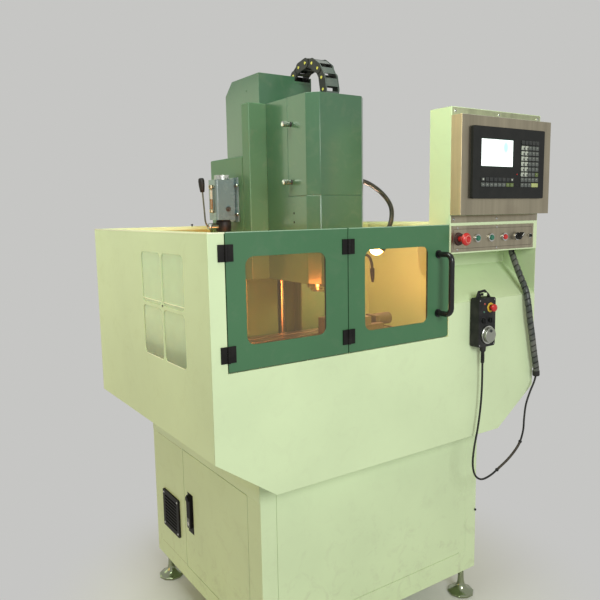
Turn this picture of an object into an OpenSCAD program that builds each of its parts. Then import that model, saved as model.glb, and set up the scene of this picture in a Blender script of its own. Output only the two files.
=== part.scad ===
// CNC drill mill. A milling head on a cast column stands in an open-topped splash
// enclosure with bi-fold front doors. The enclosure rests on a sheet-metal base cabinet,
// and a control box with a hanging pendant rises at its right front corner.
// X runs to the right from the middle plane, Y to the rear and Z up from the floor.
// Every sub-part is drawn with Y = 0 at the enclosure's front plane; from_front() then
// moves it so that the whole machine is centred in Y.

/* [Enclosure] */
// Width of the enclosure
body_w = 1320; // [1200:10:1600]
// Depth of the enclosure
body_d = 945; // [930:5:1150]
// Height of the upright walls
wall_h = 608; // [560:4:730]
// Height of the sloped underside
slope_h = 131; // [90:1:160]
// Sheet thickness of walls and cabinet
sheet = 2; // [1.5:0.1:3]
// Width of the folded rims and flanges
rim_w = 25; // [15:1:35]

/* [Base cabinet] */
// Width of the cabinet
base_w = 944; // [800:2:1130]
// Distance of the cabinet's front behind the enclosure's front
base_setback = 96; // [60:1:120]
// Height of the cabinet
base_h = 578; // [480:2:690]
// Height of the feet
foot_h = 113; // [90:1:130]
// Diameter of the foot pads
pad_d = 100; // [70:1:110]
// Distance of the foot centres from the cabinet's corners
foot_inset = 35; // [30:1:60]
// Width of the front access panel
access_w = 836; // [600:2:900]
// Width of the side door
side_door_w = 484; // [400:1:580]
// Height of the side door
side_door_h = 458; // [380:1:520]
// Side of the square fan unit
fan_w = 150; // [120:1:170]

/* [Front doors] */
// Height of the doors
door_h = 369; // [320:1:420]
// Width of the left door and its share of the gaps
left_door_w = 398; // [330:1:430]
// Width of the fixed post left of the doors
post_w = 47; // [40:1:60]
// Depth of the folded door
door_t = 20; // [16:1:26]
// Gap round the doors
door_gap = 3; // [2:0.5:5]
// Side of the square hinges
hinge_w = 44; // [36:1:54]
// Diameter of the hinge pins
hinge_pin_d = 5; // [4:0.5:6]
// Reach of the door handle in front of the door
handle_reach = 68; // [60:1:82]
// Height of the door handle between its arms
handle_h = 191; // [150:1:230]

/* [Control box] */
// Width of the control column
control_w = 453; // [420:1:500]
// Height of the control column above the rim
control_rise = 373; // [340:1:440]
// Depth of the control column above the rim
control_d = 93; // [80:1:120]
// Height of the stainless screen box
box_h = 315; // [280:1:340]
// Reach of the stainless box in front of the column
box_reach = 44; // [36:1:50]
// Width of the black control panel
panel_w = 363; // [330:1:400]
// Height of the black control panel
panel_h = 229; // [200:1:250]
// Height of the button plate
plate_h = 86; // [76:1:90]
// Height of the recess below the button plate
recess_h = 165; // [140:1:190]
// Depth of the recess
recess_d = 146; // [120:1:170]
// Diameter of the holes for the push buttons
button_hole_d = 22; // [20:0.5:24]
// Diameter of the emergency stop's head
estop_d = 54; // [40:1:60]

/* [Pendant] */
// Width of the pendant
pendant_w = 84; // [70:1:100]
// Height of the pendant
pendant_h = 167; // [140:1:190]
// Depth of the pendant
pendant_d = 36; // [30:1:42]
// Diameter of the pendant's wheel
wheel_d = 62; // [50:1:66]

/* [Mill] */
// Height of the cast bed
bed_h = 192; // [165:1:225]
// Width of the bed under the saddle
bed_w = 300; // [260:2:360]
// Height of the saddle
saddle_h = 90; // [75:1:110]
// Width of the saddle
saddle_w = 260; // [220:2:310]
// Thickness of the table
table_h = 55; // [46:1:66]
// Length of the table
table_l = 640; // [540:4:740]
// Depth of the table
table_d = 200; // [170:2:240]
// Width of the column and the carriage
column_w = 392; // [340:2:460]
// Depth of the column
column_d = 263; // [230:1:290]
// Height of the column above the bed
column_h = 802; // [715:1:875]
// Width of the motor hood on the column
hood_w = 236; // [210:2:280]
// Height of the motor hood
hood_h = 303; // [250:1:360]
// Distance of the column's front face behind the front plane
column_front = 642; // [620:1:670]
// Thickness of the head's carriage plate
carriage_t = 51.7; // [40:0.1:60]
// Width of the head
head_w = 246; // [220:2:290]
// Depth of the head in front of its carriage
head_d = 288; // [250:1:310]
// Height of the head and its carriage
head_h = 637; // [540:1:700]
// Size of the head's front corner chamfers
head_chamfer = 34; // [20:1:45]
// Depth of the head's removable cover
cover_d = 144; // [120:1:160]
// Height of the head's removable cover
cover_h = 336; // [280:1:380]
// Distance of the spindle's nose above the table
nose_gap = 160; // [135:1:190]
// Diameter of the ball screw
screw_d = 25; // [20:1:32]
// Pin circle radius of the cable carrier
carrier_r = 112; // [100:1:125]
// Running clearance of the slides
slide_gap = 0.3; // [0.2:0.05:0.5]
// Radial running clearance of pins and shafts
pin_gap = 0.05; // [0.02:0.01:0.1]

/* [Hidden] */
$fn = 32;

cream = [0.78, 0.84, 0.66];
green = [0.36, 0.55, 0.4];
door_green = [0.28, 0.47, 0.33];
steel = [0.7, 0.71, 0.72];
dark = [0.12, 0.12, 0.13];

// Heights
tray_z = foot_h + base_h;
slope_top_z = tray_z + slope_h;
rim_z = slope_top_z + wall_h;
sill_z = rim_z - door_h;
bed_z = tray_z + sheet;
saddle_z = bed_z + bed_h;
table_z = saddle_z + saddle_h;
table_top_z = table_z + table_h;
column_top_z = saddle_z + column_h;
nose_z = table_top_z + nose_gap;

// Places across and along the enclosure
half_w = body_w / 2;
base_half = base_w / 2;
base_rear = body_d - 3;
post_x = -half_w + post_w;
fold_x = post_x + left_door_w;
control_x = half_w - control_w;
hinge_y = -4.5;
front_reach = handle_reach;
rear_reach = max(body_d, base_rear - foot_inset + pad_d / 2);

// Moves a sub-part from the front plane to the centred frame
module from_front() { translate([0, (front_reach - rear_reach) / 2, 0]) children(); }

// ---- shapes that repeat ----

// Flat rounded rectangle with true corner arcs, lower left corner at the origin
module round_rect(w, h, r) {
    translate([r, 0]) square([w - 2 * r, h]);
    translate([0, r]) square([w, h - 2 * r]);
    for (x = [r, w - r], y = [r, h - r]) translate([x, y]) circle(r);
}

// Stands a flat X-Z outline up as a plate from y to y + t
module upright(y, t) { translate([0, y + t, 0]) rotate([90, 0, 0]) linear_extrude(t) children(); }

// Sweeps a flat Y-Z outline along X from x to x + w
module along_x(x, w) {
    translate([x, 0, 0]) rotate([90, 0, 90]) linear_extrude(w) children();
}

// Box between two corners
module block(low, high) { translate(low) cube(high - low); }

// Cylinder pointing forward (-Y) from a place, over a length
module forward(at, r, l) { translate(at) rotate([90, 0, 0]) cylinder(r = r, h = l); }

// Points of a smooth curve through the route's points
function curve_point(p0, p1, p2, p3, t) = 0.5 * (2 * p1 + (p2 - p0) * t
    + (2 * p0 - 5 * p1 + 4 * p2 - p3) * t * t + (3 * p1 - p0 - 3 * p2 + p3) * t * t * t);
function smooth(p, steps) = [
    for (i = [0 : len(p) - 2], s = [0 : steps - 1])
        curve_point(p[max(i - 1, 0)], p[i], p[i + 1], p[min(i + 2, len(p) - 1)], s / steps),
    p[len(p) - 1]
];
function unit(v) = v / norm(v);

// Tube of a radius swept along a path; the path never runs along the side direction
module tube(path, r, sides, side) {
    last = len(path) - 1;
    rings = [
        for (i = [0 : last])
            let (t = unit(path[min(i + 1, last)] - path[max(i - 1, 0)]))
            let (a = unit(cross(t, side)), b = cross(t, a))
            for (k = [0 : sides - 1])
                path[i] + r * (cos(360 * k / sides) * a + sin(360 * k / sides) * b)
    ];
    faces = [
        [for (k = [sides - 1 : -1 : 0]) k],
        [for (k = [0 : sides - 1]) last * sides + k],
        for (i = [0 : last - 1], k = [0 : sides - 1])
            let (n = (k + 1) % sides)
            [i * sides + k, i * sides + n, (i + 1) * sides + n, (i + 1) * sides + k]
    ];
    polyhedron(rings, [for (f = faces) [for (j = [len(f) - 1 : -1 : 0]) f[j]]]);
}

// ---- base cabinet ----

access_low_z = foot_h + 79;
access_high_z = tray_z - 23;
seam = 2;
side_door_y = base_setback + 79;
side_door_z = foot_h + 54;
side_door_pin = 7;
side_pin_d = 6;
fan_y = side_door_y + side_door_w + 46;
fan_z = foot_h + 144;
fan_body_w = fan_w - 26;
fan_cy = fan_y + fan_w / 2;
fan_cz = fan_z + fan_w / 2;
floor_t = 6;
foot_r = 8;

module at_feet() {
    for (x = [-1, 1], y = [base_setback + foot_inset, base_rear - foot_inset])
        translate([x * (base_half - foot_inset), y, 0]) children();
}

module base_cabinet() color(cream) from_front() difference() {
    union() {
        difference() {
            block([-base_half, base_setback, foot_h], [base_half, base_rear, tray_z]);
            block([-base_half + sheet, base_setback + sheet, foot_h + floor_t],
                  [base_half - sheet, base_rear - sheet, tray_z - sheet]);
        }
        // joggled lip behind the front opening
        block([-access_w / 2 - 12, base_setback + sheet, access_low_z - 12],
              [access_w / 2 + 12, base_setback + 2 * sheet, access_high_z + 12]);
        // brackets that hold the side door's pins
        for (z = [side_door_z - 12, side_door_z + side_door_h + 2])
            block([-base_half + sheet, side_door_y + seam, z],
                  [-base_half + 22, side_door_y + 30, z + 10]);
        // stop strip behind the side door's free edge
        block([-base_half + sheet, side_door_y + side_door_w - 1, side_door_z - 12],
              [-base_half + 6, side_door_y + side_door_w + 14, side_door_z + side_door_h + 12]);
    }
    block([-access_w / 2, base_setback - 1, access_low_z],
          [access_w / 2, base_setback + sheet, access_high_z]);
    block([-access_w / 2 + 14, base_setback, access_low_z + 14],
          [access_w / 2 - 14, base_setback + 3 * sheet, access_high_z - 14]);
    block([-base_half - 1, side_door_y, side_door_z],
          [-base_half + sheet + 0.01, side_door_y + side_door_w, side_door_z + side_door_h]);
    block([-base_half - 1, fan_cy - fan_body_w / 2 - 0.5, fan_cz - fan_body_w / 2 - 0.5],
          [-base_half + 12, fan_cy + fan_body_w / 2 + 0.5, fan_cz + fan_body_w / 2 + 0.5]);
    translate([-base_half + side_door_pin, side_door_y + seam + side_door_pin, side_door_z - 20])
        cylinder(r = side_pin_d / 2 + pin_gap, h = side_door_h + 40);
    at_feet() translate([0, 0, foot_h - 1]) cylinder(r = foot_r + pin_gap, h = floor_t + 2);
}

module base_front_panel() color(cream) from_front() difference() {
    block([-access_w / 2 + seam, base_setback, access_low_z + seam],
          [access_w / 2 - seam, base_setback + sheet, access_high_z - seam]);
    // finger hole
    forward([access_w / 2 - 26, base_setback + 2 * sheet, (access_low_z + access_high_z) / 2],
            7, 3 * sheet);
}

module levelling_feet() color(steel) from_front() at_feet() {
    rotate_extrude($fn = 48) polygon([
        [0, 0], [pad_d / 2, 0], [pad_d / 2, 8], [pad_d / 2 - 5, 12], [18, 26], [14, 34], [0, 34]
    ]);
    translate([0, 0, 34]) cylinder(r = foot_r, h = foot_h + 20 - 34);
    difference() {
        translate([0, 0, foot_h - 13]) cylinder(r = 15, h = 13, $fn = 6);
        translate([0, 0, foot_h - 14]) cylinder(r = foot_r + pin_gap, h = 15);
    }
}

module side_door() color(cream) from_front() difference() {
    union() {
        difference() {
            block([-base_half, side_door_y + seam + 0.5, side_door_z + seam],
                  [-base_half + 16, side_door_y + side_door_w - seam,
                   side_door_z + side_door_h - seam]);
            block([-base_half + sheet, side_door_y + seam + 14, side_door_z + seam + sheet],
                  [-base_half + 17, side_door_y + side_door_w - seam - sheet,
                   side_door_z + side_door_h - seam - sheet]);
            // the free edge's return stops short of the cabinet's stop strip
            block([-base_half + sheet, side_door_y + side_door_w - seam - 16, side_door_z],
                  [-base_half + 17, side_door_y + side_door_w, side_door_z + side_door_h]);
        }
        translate([-base_half + side_door_pin, side_door_y + seam + side_door_pin,
                   side_door_z - 9])
            cylinder(r = side_pin_d / 2, h = side_door_h + 18);
    }
    translate([-base_half - 1, latch_y, latch_pivot_z]) rotate([0, 90, 0])
        cylinder(r = latch_shaft_r + pin_gap, h = 10);
}

latch_l = 143;
latch_w = 30;
latch_y = side_door_y + side_door_w - 51;
latch_pivot_z = foot_h + 284 + latch_l / 2 - latch_w / 2;
latch_shaft_r = 9;

// Turning latch: lever outside, shaft through the door and a cam behind it
module side_door_latch() color(dark) from_front() translate([-base_half, latch_y, latch_pivot_z]) {
    translate([-slide_gap, 0, 0]) rotate([0, -90, 0]) linear_extrude(9) {
        circle(latch_w / 2);
        translate([latch_w - latch_l, -latch_w / 2]) round_rect(latch_l - latch_w, latch_w, 8);
        translate([-latch_w, -latch_w / 2]) square([latch_w, latch_w]);
    }
    translate([-9 - slide_gap, 0, 0]) rotate([0, -90, 0]) cylinder(r = 11, h = 5);
    translate([-slide_gap - 1, 0, 0]) rotate([0, 90, 0]) cylinder(r = latch_shaft_r, h = 16);
    block([9, -10, -12], [13, 46, 12]);
}

module fan_housing() color(dark) from_front()
    translate([-base_half, fan_cy, fan_cz]) rotate([0, -90, 0]) {
        // louvred face
        difference() {
            translate([-fan_w / 2, -fan_w / 2, 0]) linear_extrude(7) round_rect(fan_w, fan_w, 6);
            for (i = [-4 : 4]) translate([i * 13 - 3.5, -fan_body_w / 2 + 8, -1])
                cube([7, fan_body_w - 16, 9]);
        }
        // tunnel behind the face, with three arms that carry the rotor's axle
        difference() {
            translate([-fan_body_w / 2, -fan_body_w / 2, -50])
                cube([fan_body_w, fan_body_w, 50]);
            translate([0, 0, -51]) cylinder(r = fan_body_w / 2 - 6, h = 52, $fn = 64);
        }
        difference() {
            translate([0, 0, -50]) for (a = [30, 150, 270]) rotate([0, 0, a])
                translate([0, -4, 0]) cube([fan_body_w / 2 - 4, 8, 4]);
            translate([0, 0, -51]) cylinder(r = 3 + pin_gap, h = 8);
        }
        difference() {
            translate([0, 0, -50]) cylinder(r = 16, h = 6);
            translate([0, 0, -51]) cylinder(r = 3 + pin_gap, h = 8);
        }
    }

module fan_rotor() color(dark) from_front()
    translate([-base_half, fan_cy, fan_cz]) rotate([0, -90, 0]) {
        translate([0, 0, -50]) cylinder(r = 3, h = 30);
        translate([0, 0, -44 + slide_gap]) cylinder(r = 20, h = 28);
        for (k = [0 : 6]) rotate([0, 0, k * 360 / 7]) translate([15, 0, -30])
            rotate([40, 0, 0]) translate([0, -1.2, -13]) cube([fan_body_w / 2 - 6 - 20, 2.4, 26]);
    }

drive_w = 60;
drive_d = 150;
drive_h = 180;
core_w = 140;
core_d = 90;
core_h = 100;
coil_w = 46;
frame_h = 20;

// Three finned servo drives and the transformer that stand on the cabinet's floor
module drive_modules() color([0.5, 0.52, 0.55]) from_front() {
    for (k = [0 : 2]) translate([-base_half + 120 + k * (drive_w + 15), base_rear - 200,
                                 foot_h + floor_t]) {
        difference() {
            cube([drive_w, drive_d, drive_h]);
            for (y = [20 : 12 : drive_d - 20]) translate([-1, y, 20])
                cube([8, 5, drive_h - 50]);
        }
        // terminal strip
        translate([drive_w / 3, -6, 40]) cube([drive_w / 3, 6, drive_h - 70]);
    }
    translate([80, base_rear - 260, foot_h + floor_t]) {
        cube([core_w + 20, core_d + 30, frame_h]);
        translate([10, 15, frame_h]) cube([core_w, core_d, core_h]);
        for (x = [22, 22 + core_w / 2]) translate([x, 5, frame_h + 10])
            cube([coil_w, core_d + 20, core_h - 20]);
    }
}

// ---- enclosure ----

slope_angle = atan2(slope_h, half_w - base_half);
lip_h = 20;
tray_in_x = base_half + sheet * (half_w - base_half) / slope_h - sheet / sin(slope_angle);
lip_z = tray_z + (half_w - 2 * sheet - base_half + sheet / sin(slope_angle))
    * slope_h / (half_w - base_half);
tray_half = [
    [base_half, tray_z], [half_w, slope_top_z], [half_w - sheet, slope_top_z],
    [half_w - sheet, slope_top_z + lip_h], [half_w - 2 * sheet, slope_top_z + lip_h],
    [half_w - 2 * sheet, lip_z], [tray_in_x, tray_z + sheet]
];

module chip_tray() color(cream) from_front() upright(sheet, body_d - 2 * sheet)
    polygon(concat(tray_half, [for (i = [6 : -1 : 0]) [-tray_half[i][0], tray_half[i][1]]]));

recess_cover = 96;
recess_top_z = rim_z - recess_cover;
crease_z = recess_top_z - recess_h;
slope_top = recess_top_z - 56;

module front_panel() color(cream) from_front() {
    upright(0, sheet) polygon([
        [-base_half, tray_z], [base_half, tray_z], [half_w, slope_top_z], [half_w, crease_z],
        [control_x, crease_z], [control_x, sill_z], [post_x, sill_z], [post_x, rim_z],
        [-half_w, rim_z], [-half_w, slope_top_z]
    ]);
    // folds along the sill and the post
    block([post_x - sheet, sheet, sill_z - sheet], [control_x, rim_w, sill_z]);
    block([post_x, rim_w - sheet, sill_z - 14], [control_x, rim_w, sill_z]);
    block([post_x - sheet, sheet, sill_z - sheet], [post_x, rim_w, rim_z]);
    // slope and back of the recess
    along_x(control_x, control_w - sheet) polygon([
        [0, crease_z], [recess_d - sheet, slope_top], [recess_d - sheet, rim_z],
        [recess_d, rim_z], [recess_d, slope_top - sheet], [sheet, crease_z - sheet - 1.4],
        [0, crease_z - sheet - 1.4]
    ]);
    // cheek between the doors and the recess
    along_x(control_x, sheet) polygon([
        [0, crease_z], [recess_d - sheet, slope_top], [recess_d - sheet, recess_top_z],
        [0, recess_top_z]
    ]);
}

pane_y = 156;
pane_z = slope_top_z + 224;
pane_w = 153;
pane_h = 155.5;
mullion = 10;

module side_panes() {
    for (i = [0, 1], j = [0, 1])
        translate([pane_y + i * (pane_w + mullion), pane_z + j * (pane_h + mullion)])
            round_rect(pane_w, pane_h, 18);
}

module left_wall() color(cream) from_front() {
    along_x(-half_w, sheet) difference() {
        translate([sheet, slope_top_z]) square([body_d - 2 * sheet, wall_h]);
        side_panes();
    }
    block([-half_w, sheet, rim_z - sheet], [-half_w + rim_w, body_d - sheet, rim_z]);
    block([-half_w + rim_w - sheet, sheet, rim_z - 14], [-half_w + rim_w, body_d - sheet, rim_z]);
}

module right_wall() color(cream) from_front() {
    along_x(half_w - sheet, sheet) polygon([
        [sheet, slope_top_z], [body_d - sheet, slope_top_z], [body_d - sheet, rim_z],
        [recess_d, rim_z], [recess_d, recess_top_z], [sheet, recess_top_z]
    ]);
    block([half_w - rim_w, recess_d, rim_z - sheet], [half_w, body_d - sheet, rim_z]);
    block([half_w - rim_w, recess_d, rim_z - 14], [half_w - rim_w + sheet, body_d - sheet, rim_z]);
}

module rear_wall() color(cream) from_front() {
    upright(body_d - sheet, sheet) polygon([
        [-base_half, tray_z], [base_half, tray_z], [half_w, slope_top_z], [half_w, rim_z],
        [-half_w, rim_z], [-half_w, slope_top_z]
    ]);
    block([-half_w + rim_w, body_d - rim_w, rim_z - sheet], [half_w - rim_w, body_d, rim_z]);
    block([-half_w + rim_w, body_d - rim_w, rim_z - 14],
          [half_w - rim_w, body_d - rim_w + sheet, rim_z]);
}

// One sheet of acrylic behind the four cut-outs
module side_window_pane() color([0.85, 0.9, 0.88, 0.4]) from_front()
    block([-half_w + sheet, pane_y - 14, pane_z - 14],
          [-half_w + sheet + 4, pane_y + 2 * pane_w + mullion + 14,
           pane_z + 2 * pane_h + mullion + 14]);

// ---- bi-fold doors ----

hinge_zs = [rim_z - 31 - hinge_w / 2, sill_z + 29 + hinge_w / 2];
leaf_t = 4;
barrel_r = 4.5;
pane_t = 4;

// Folded door: a front sheet with returned edges and a window
module door_shell(x0, x1, win_x0, win_x1, win_z0, win_z1) difference() {
    block([x0, 0, sill_z + door_gap], [x1, door_t, rim_z]);
    block([x0 + 1.5, 1.5, sill_z + door_gap + 1.5], [x1 - 1.5, door_t + 1, rim_z - 1.5]);
    upright(-1, 4) translate([win_x0, win_z0])
        round_rect(win_x1 - win_x0, win_z1 - win_z0, 25);
}

left_x0 = post_x + door_gap;
left_x1 = fold_x + 2 - door_gap / 2;
right_x0 = fold_x + 2 + door_gap / 2;
right_x1 = control_x - door_gap;
post_axis_x = post_x + 2;
fold_axis_x = fold_x + 2;
left_win = [left_x0 + 57, left_x1 - 79, sill_z + 69, rim_z - 65];
right_win = [right_x0 + 62, right_x1 - 94, sill_z + 60, rim_z - 66];

module left_door() color(door_green) from_front()
    door_shell(left_x0, left_x1, left_win[0], left_win[1], left_win[2], left_win[3]);

module right_door() color(door_green) from_front()
    door_shell(right_x0, right_x1, right_win[0], right_win[1], right_win[2], right_win[3]);

module door_pane(win) block([win[0] - 12, 1.5, win[2] - 12], [win[1] + 12, 1.5 + pane_t, win[3] + 12]);

module left_door_pane() color([0.85, 0.9, 0.88, 0.4]) from_front() door_pane(left_win);
module right_door_pane() color([0.85, 0.9, 0.88, 0.4]) from_front() door_pane(right_win);

// Hinge leaf on one side of an axis: side -1 is left. The outer knuckles belong to the
// left leaf, which carries the pin; the middle knuckle belongs to the right leaf.
module hinge_leaf(axis_x, z, side) translate([axis_x, hinge_y, z]) {
    knuckle_h = side < 0 ? hinge_w / 2 - hinge_w / 6.4 : hinge_w / 3.2 - 0.6;
    starts = side < 0 ? [-hinge_w / 2, hinge_w / 6.4] : [-hinge_w / 6.4 + 0.3];
    difference() {
        union() {
            block([side < 0 ? -hinge_w / 2 : barrel_r + 0.4, 0.5, -hinge_w / 2],
                  [side < 0 ? -barrel_r - 0.4 : hinge_w / 2, leaf_t + 0.5, hinge_w / 2]);
            for (s = starts) {
                translate([0, 0, s]) cylinder(r = barrel_r, h = knuckle_h);
                block([side < 0 ? -barrel_r - 1 : 0, 0.5, s],
                      [side < 0 ? 0 : barrel_r + 1, leaf_t, s + knuckle_h]);
            }
        }
        if (side > 0) translate([0, 0, -hinge_w / 2])
            cylinder(r = hinge_pin_d / 2 + pin_gap, h = hinge_w);
    }
    if (side < 0) translate([0, 0, -hinge_w / 2]) cylinder(r = hinge_pin_d / 2, h = hinge_w);
}

module post_hinges() color(dark) from_front()
    for (z = hinge_zs) hinge_leaf(post_axis_x, z, -1);

module left_door_hinges() color(dark) from_front() for (z = hinge_zs) {
    hinge_leaf(post_axis_x, z, 1);
    hinge_leaf(fold_axis_x, z, -1);
}

module right_door_hinges() color(dark) from_front()
    for (z = hinge_zs) hinge_leaf(fold_axis_x, z, 1);

handle_x = right_x1 - 49;
handle_z = sill_z + 85;
handle_r = 9;
handle_bend = 22;

// Bent tube handle: two arms, two quarter bends and a grip
module door_handle() color(dark) from_front() translate([handle_x, 0, handle_z]) {
    grip_y = -(handle_reach - handle_r);
    for (z = [0, handle_h]) {
        forward([0, 0, z], handle_r, -grip_y - handle_bend);
        forward([0, 0, z], 13, 5);
    }
    translate([0, grip_y, handle_bend]) cylinder(r = handle_r, h = handle_h - 2 * handle_bend);
    for (turn = [180, 90])
        translate([0, grip_y + handle_bend, turn == 180 ? handle_bend : handle_h - handle_bend])
            rotate([90, 0, 90]) rotate([0, 0, turn])
                rotate_extrude(angle = 90) translate([handle_bend, 0]) circle(handle_r);
}

// ---- control box ----

plate_top_z = rim_z - 5;
plate_z = plate_top_z - plate_h;
plate_x0 = control_x + 5;
plate_x1 = half_w - 23;
button_z = (plate_z + plate_top_z) / 2;
box_z0 = rim_z + 30;
box_z1 = box_z0 + box_h;
panel_x0 = control_x + 43;
panel_z0 = box_z0 + 52;
panel_t = 10;
estop_x = control_x + 39;
green_left_x = control_x + 129;
green_right_x = control_x + 198;
red_x = control_x + 269;
selector_x = control_x + 336;
jack_x = control_x + 410;

module column_profile(inset) {
    polygon([
        [inset, recess_top_z + inset], [recess_d - sheet - inset, recess_top_z + inset],
        [recess_d - sheet - inset, rim_z - inset], [control_d - inset, rim_z - inset],
        [control_d - inset, rim_z + control_rise - inset], [inset, rim_z + control_rise - inset]
    ]);
}

module control_column() color(cream) from_front() difference() {
    along_x(control_x, control_w) column_profile(0);
    along_x(control_x + sheet, control_w - 2 * sheet) column_profile(sheet);
    // openings behind the screen box and the button plate
    block([control_x + 24, -1, box_z0 + 20], [half_w - 24, sheet + 1, box_z1 - 20]);
    block([plate_x0 + 12, -1, plate_z + 12], [plate_x1 - 12, sheet + 1, plate_top_z - 12]);
    // hole for the conduit's gland
    translate([gland_x, gland_y, recess_top_z - 1])
        cylinder(r = gland_r + 0.2, h = sheet + 2);
}

module panel_box() color(steel) from_front() difference() {
    block([control_x, -box_reach, box_z0], [half_w, 0, box_z1]);
    block([control_x + 1.5, -box_reach + 1.5, box_z0 + 1.5], [half_w - 1.5, -1.5, box_z1 - 1.5]);
    block([control_x + 20, -2, box_z0 + 20], [half_w - 20, 1, box_z1 - 20]);
    block([panel_x0 + 12, -box_reach - 1, panel_z0 + 12],
          [panel_x0 + panel_w - 12, -box_reach + 2, panel_z0 + panel_h - 12]);
}

screen_x0 = panel_x0 + 39;
screen_z0 = panel_z0 + 102;
screen_w = 160;
screen_h = 90;

module control_panel() color(dark) from_front() difference() {
    union() {
        upright(-box_reach - panel_t, panel_t) translate([panel_x0, panel_z0])
            round_rect(panel_w, panel_h, 5);
        block([panel_x0 + 13, -box_reach, panel_z0 + 13],
              [panel_x0 + panel_w - 13, -4, panel_z0 + panel_h - 13]);
    }
    block([screen_x0, -box_reach - panel_t - 1, screen_z0],
          [screen_x0 + screen_w, -box_reach - panel_t + 4, screen_z0 + screen_h]);
}

module panel_screen() color([0.95, 0.97, 0.97]) from_front()
    block([screen_x0, -box_reach - panel_t + 2, screen_z0],
          [screen_x0 + screen_w, -box_reach - panel_t + 4, screen_z0 + screen_h]);

module key_block(x0, z0, cols, rows, pitch_x, pitch_z, key_w, key_h) {
    block([x0, -box_reach - panel_t - 1, z0],
          [x0 + cols * pitch_x, -box_reach - panel_t, z0 + rows * pitch_z]);
    for (i = [0 : cols - 1], j = [0 : rows - 1])
        translate([x0 + (i + 0.5) * pitch_x - key_w / 2, -box_reach - panel_t - 2.5,
                   z0 + (j + 0.5) * pitch_z - key_h / 2]) cube([key_w, 1.5, key_h]);
}

module keypad() color([0.35, 0.37, 0.36]) from_front() {
    key_block(panel_x0 + 236, panel_z0 + 36, 5, 9, 19, 17.6, 14, 12.5);
    key_block(panel_x0 + 37, panel_z0 + 36, 8, 2, 20.5, 17, 15, 12);
}

module button_plate() color(steel) from_front() difference() {
    block([plate_x0, -sheet, plate_z], [plate_x1, 0, plate_top_z]);
    for (x = [estop_x, green_left_x, green_right_x, red_x, selector_x])
        forward([x, 1, button_z], button_hole_d / 2, sheet + 2);
    forward([jack_x, 1, button_z], 6, sheet + 2);
}

// Front rings with their threaded barrels through the plate, and the small jack
bezel_out = 6;
barrel_in = 34;
button_r = button_hole_d / 2 - 2.2;
module bezel(x, r) difference() {
    union() {
        forward([x, -sheet, button_z], r, bezel_out);
        forward([x, barrel_in, button_z], button_hole_d / 2, barrel_in + sheet);
    }
    forward([x, barrel_in - 12, button_z], button_r + 0.2, barrel_in + sheet + bezel_out);
}

module button_bezels() color(steel) from_front() {
    for (x = [green_left_x, green_right_x, red_x, selector_x]) bezel(x, 14);
    bezel(estop_x, 20);
    difference() {
        union() {
            forward([jack_x, -sheet, button_z], 8, 3);
            forward([jack_x, 16, button_z], 6, 16 + sheet);
        }
        forward([jack_x, 12, button_z], 3, 20);
    }
}

module push_button(x) {
    forward([x, barrel_in - 20, button_z], button_r, barrel_in - 20 + sheet + bezel_out + 4);
}

module green_button_left() color([0.1, 0.5, 0.3]) from_front() push_button(green_left_x);
module green_button_right() color([0.1, 0.5, 0.3]) from_front() push_button(green_right_x);
module red_button() color([0.8, 0.1, 0.1]) from_front() push_button(red_x);

// Mushroom head on a stem
module mushroom(r, neck, stem_r, stem_l) rotate([90, 0, 0]) {
    translate([0, 0, -stem_l]) cylinder(r = stem_r, h = stem_l + neck);
    translate([0, 0, neck]) rotate_extrude() polygon([
        [0, 0], [r * 0.72, 0], [r, 4], [r, 8], [r * 0.86, 11.5], [r * 0.5, 13.4], [0, 14]
    ]);
}

module estop_button() color([0.8, 0.1, 0.1]) from_front() translate([estop_x, -sheet, button_z])
    mushroom(estop_d / 2, 29, button_r, 14);

module selector_knob() color(dark) from_front() translate([selector_x, -sheet, button_z]) {
    rotate([90, 0, 0]) translate([0, 0, -14]) cylinder(r = button_r, h = 14 + bezel_out + 3);
    rotate([0, 45, 0]) block([-4, -bezel_out - 18, -12], [4, -bezel_out - 2, 16]);
}

// ---- pendant and cords ----

pendant_cx = control_x + 144;
pendant_z1 = crease_z + 13;
pendant_z0 = pendant_z1 - pendant_h;
pendant_back = -4;
pendant_front = pendant_back - pendant_d;
hook_z = pendant_z1 + 8;
wheel_x = pendant_cx - 2;
wheel_z = pendant_z1 - 125;
knob_z = pendant_z1 - 76;
axis_knob_x = pendant_cx - 20;
rate_knob_x = pendant_cx + 13;
pendant_stop_x = pendant_cx + 16;
pendant_stop_z = pendant_z1 - 34;

// Bent strip on the front panel with an upturned finger that goes through the loop
module pendant_hook() color(cream) from_front() translate([pendant_cx, 0, 0]) {
    block([-12, -3, crease_z - 40], [12, 0, crease_z]);
    block([-12, -3, crease_z], [12, 0, hook_z]);
    block([-8, -28, hook_z - 3], [8, -3, hook_z]);
    block([-8, -31, hook_z - 3], [8, -28, hook_z + 8]);
}

module pendant_body() color(dark) from_front() difference() {
    union() {
        // housing with a wider lower grip
        translate([pendant_cx - pendant_w / 2, 0, 0]) upright(pendant_front, pendant_d)
            translate([0, pendant_z0]) round_rect(pendant_w, pendant_h, 9);
        // loop
        upright(pendant_front + 13, 9) difference() {
            polygon([
                [pendant_cx - 36, pendant_z1 - 6], [pendant_cx - 20, hook_z + 6.3],
                [pendant_cx + 20, hook_z + 6.3], [pendant_cx + 36, pendant_z1 - 6]
            ]);
            polygon([
                [pendant_cx - 25, pendant_z1], [pendant_cx - 17, hook_z + 0.3],
                [pendant_cx + 17, hook_z + 0.3], [pendant_cx + 25, pendant_z1]
            ]);
        }
    }
    forward([wheel_x, pendant_front + 16, wheel_z], 5 + pin_gap, 30);
    for (x = [axis_knob_x, rate_knob_x])
        forward([x, pendant_front + 12, knob_z], 3 + pin_gap, 20);
    forward([pendant_stop_x, pendant_front + 16, pendant_stop_z], 6 + pin_gap, 30);
}

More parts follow.
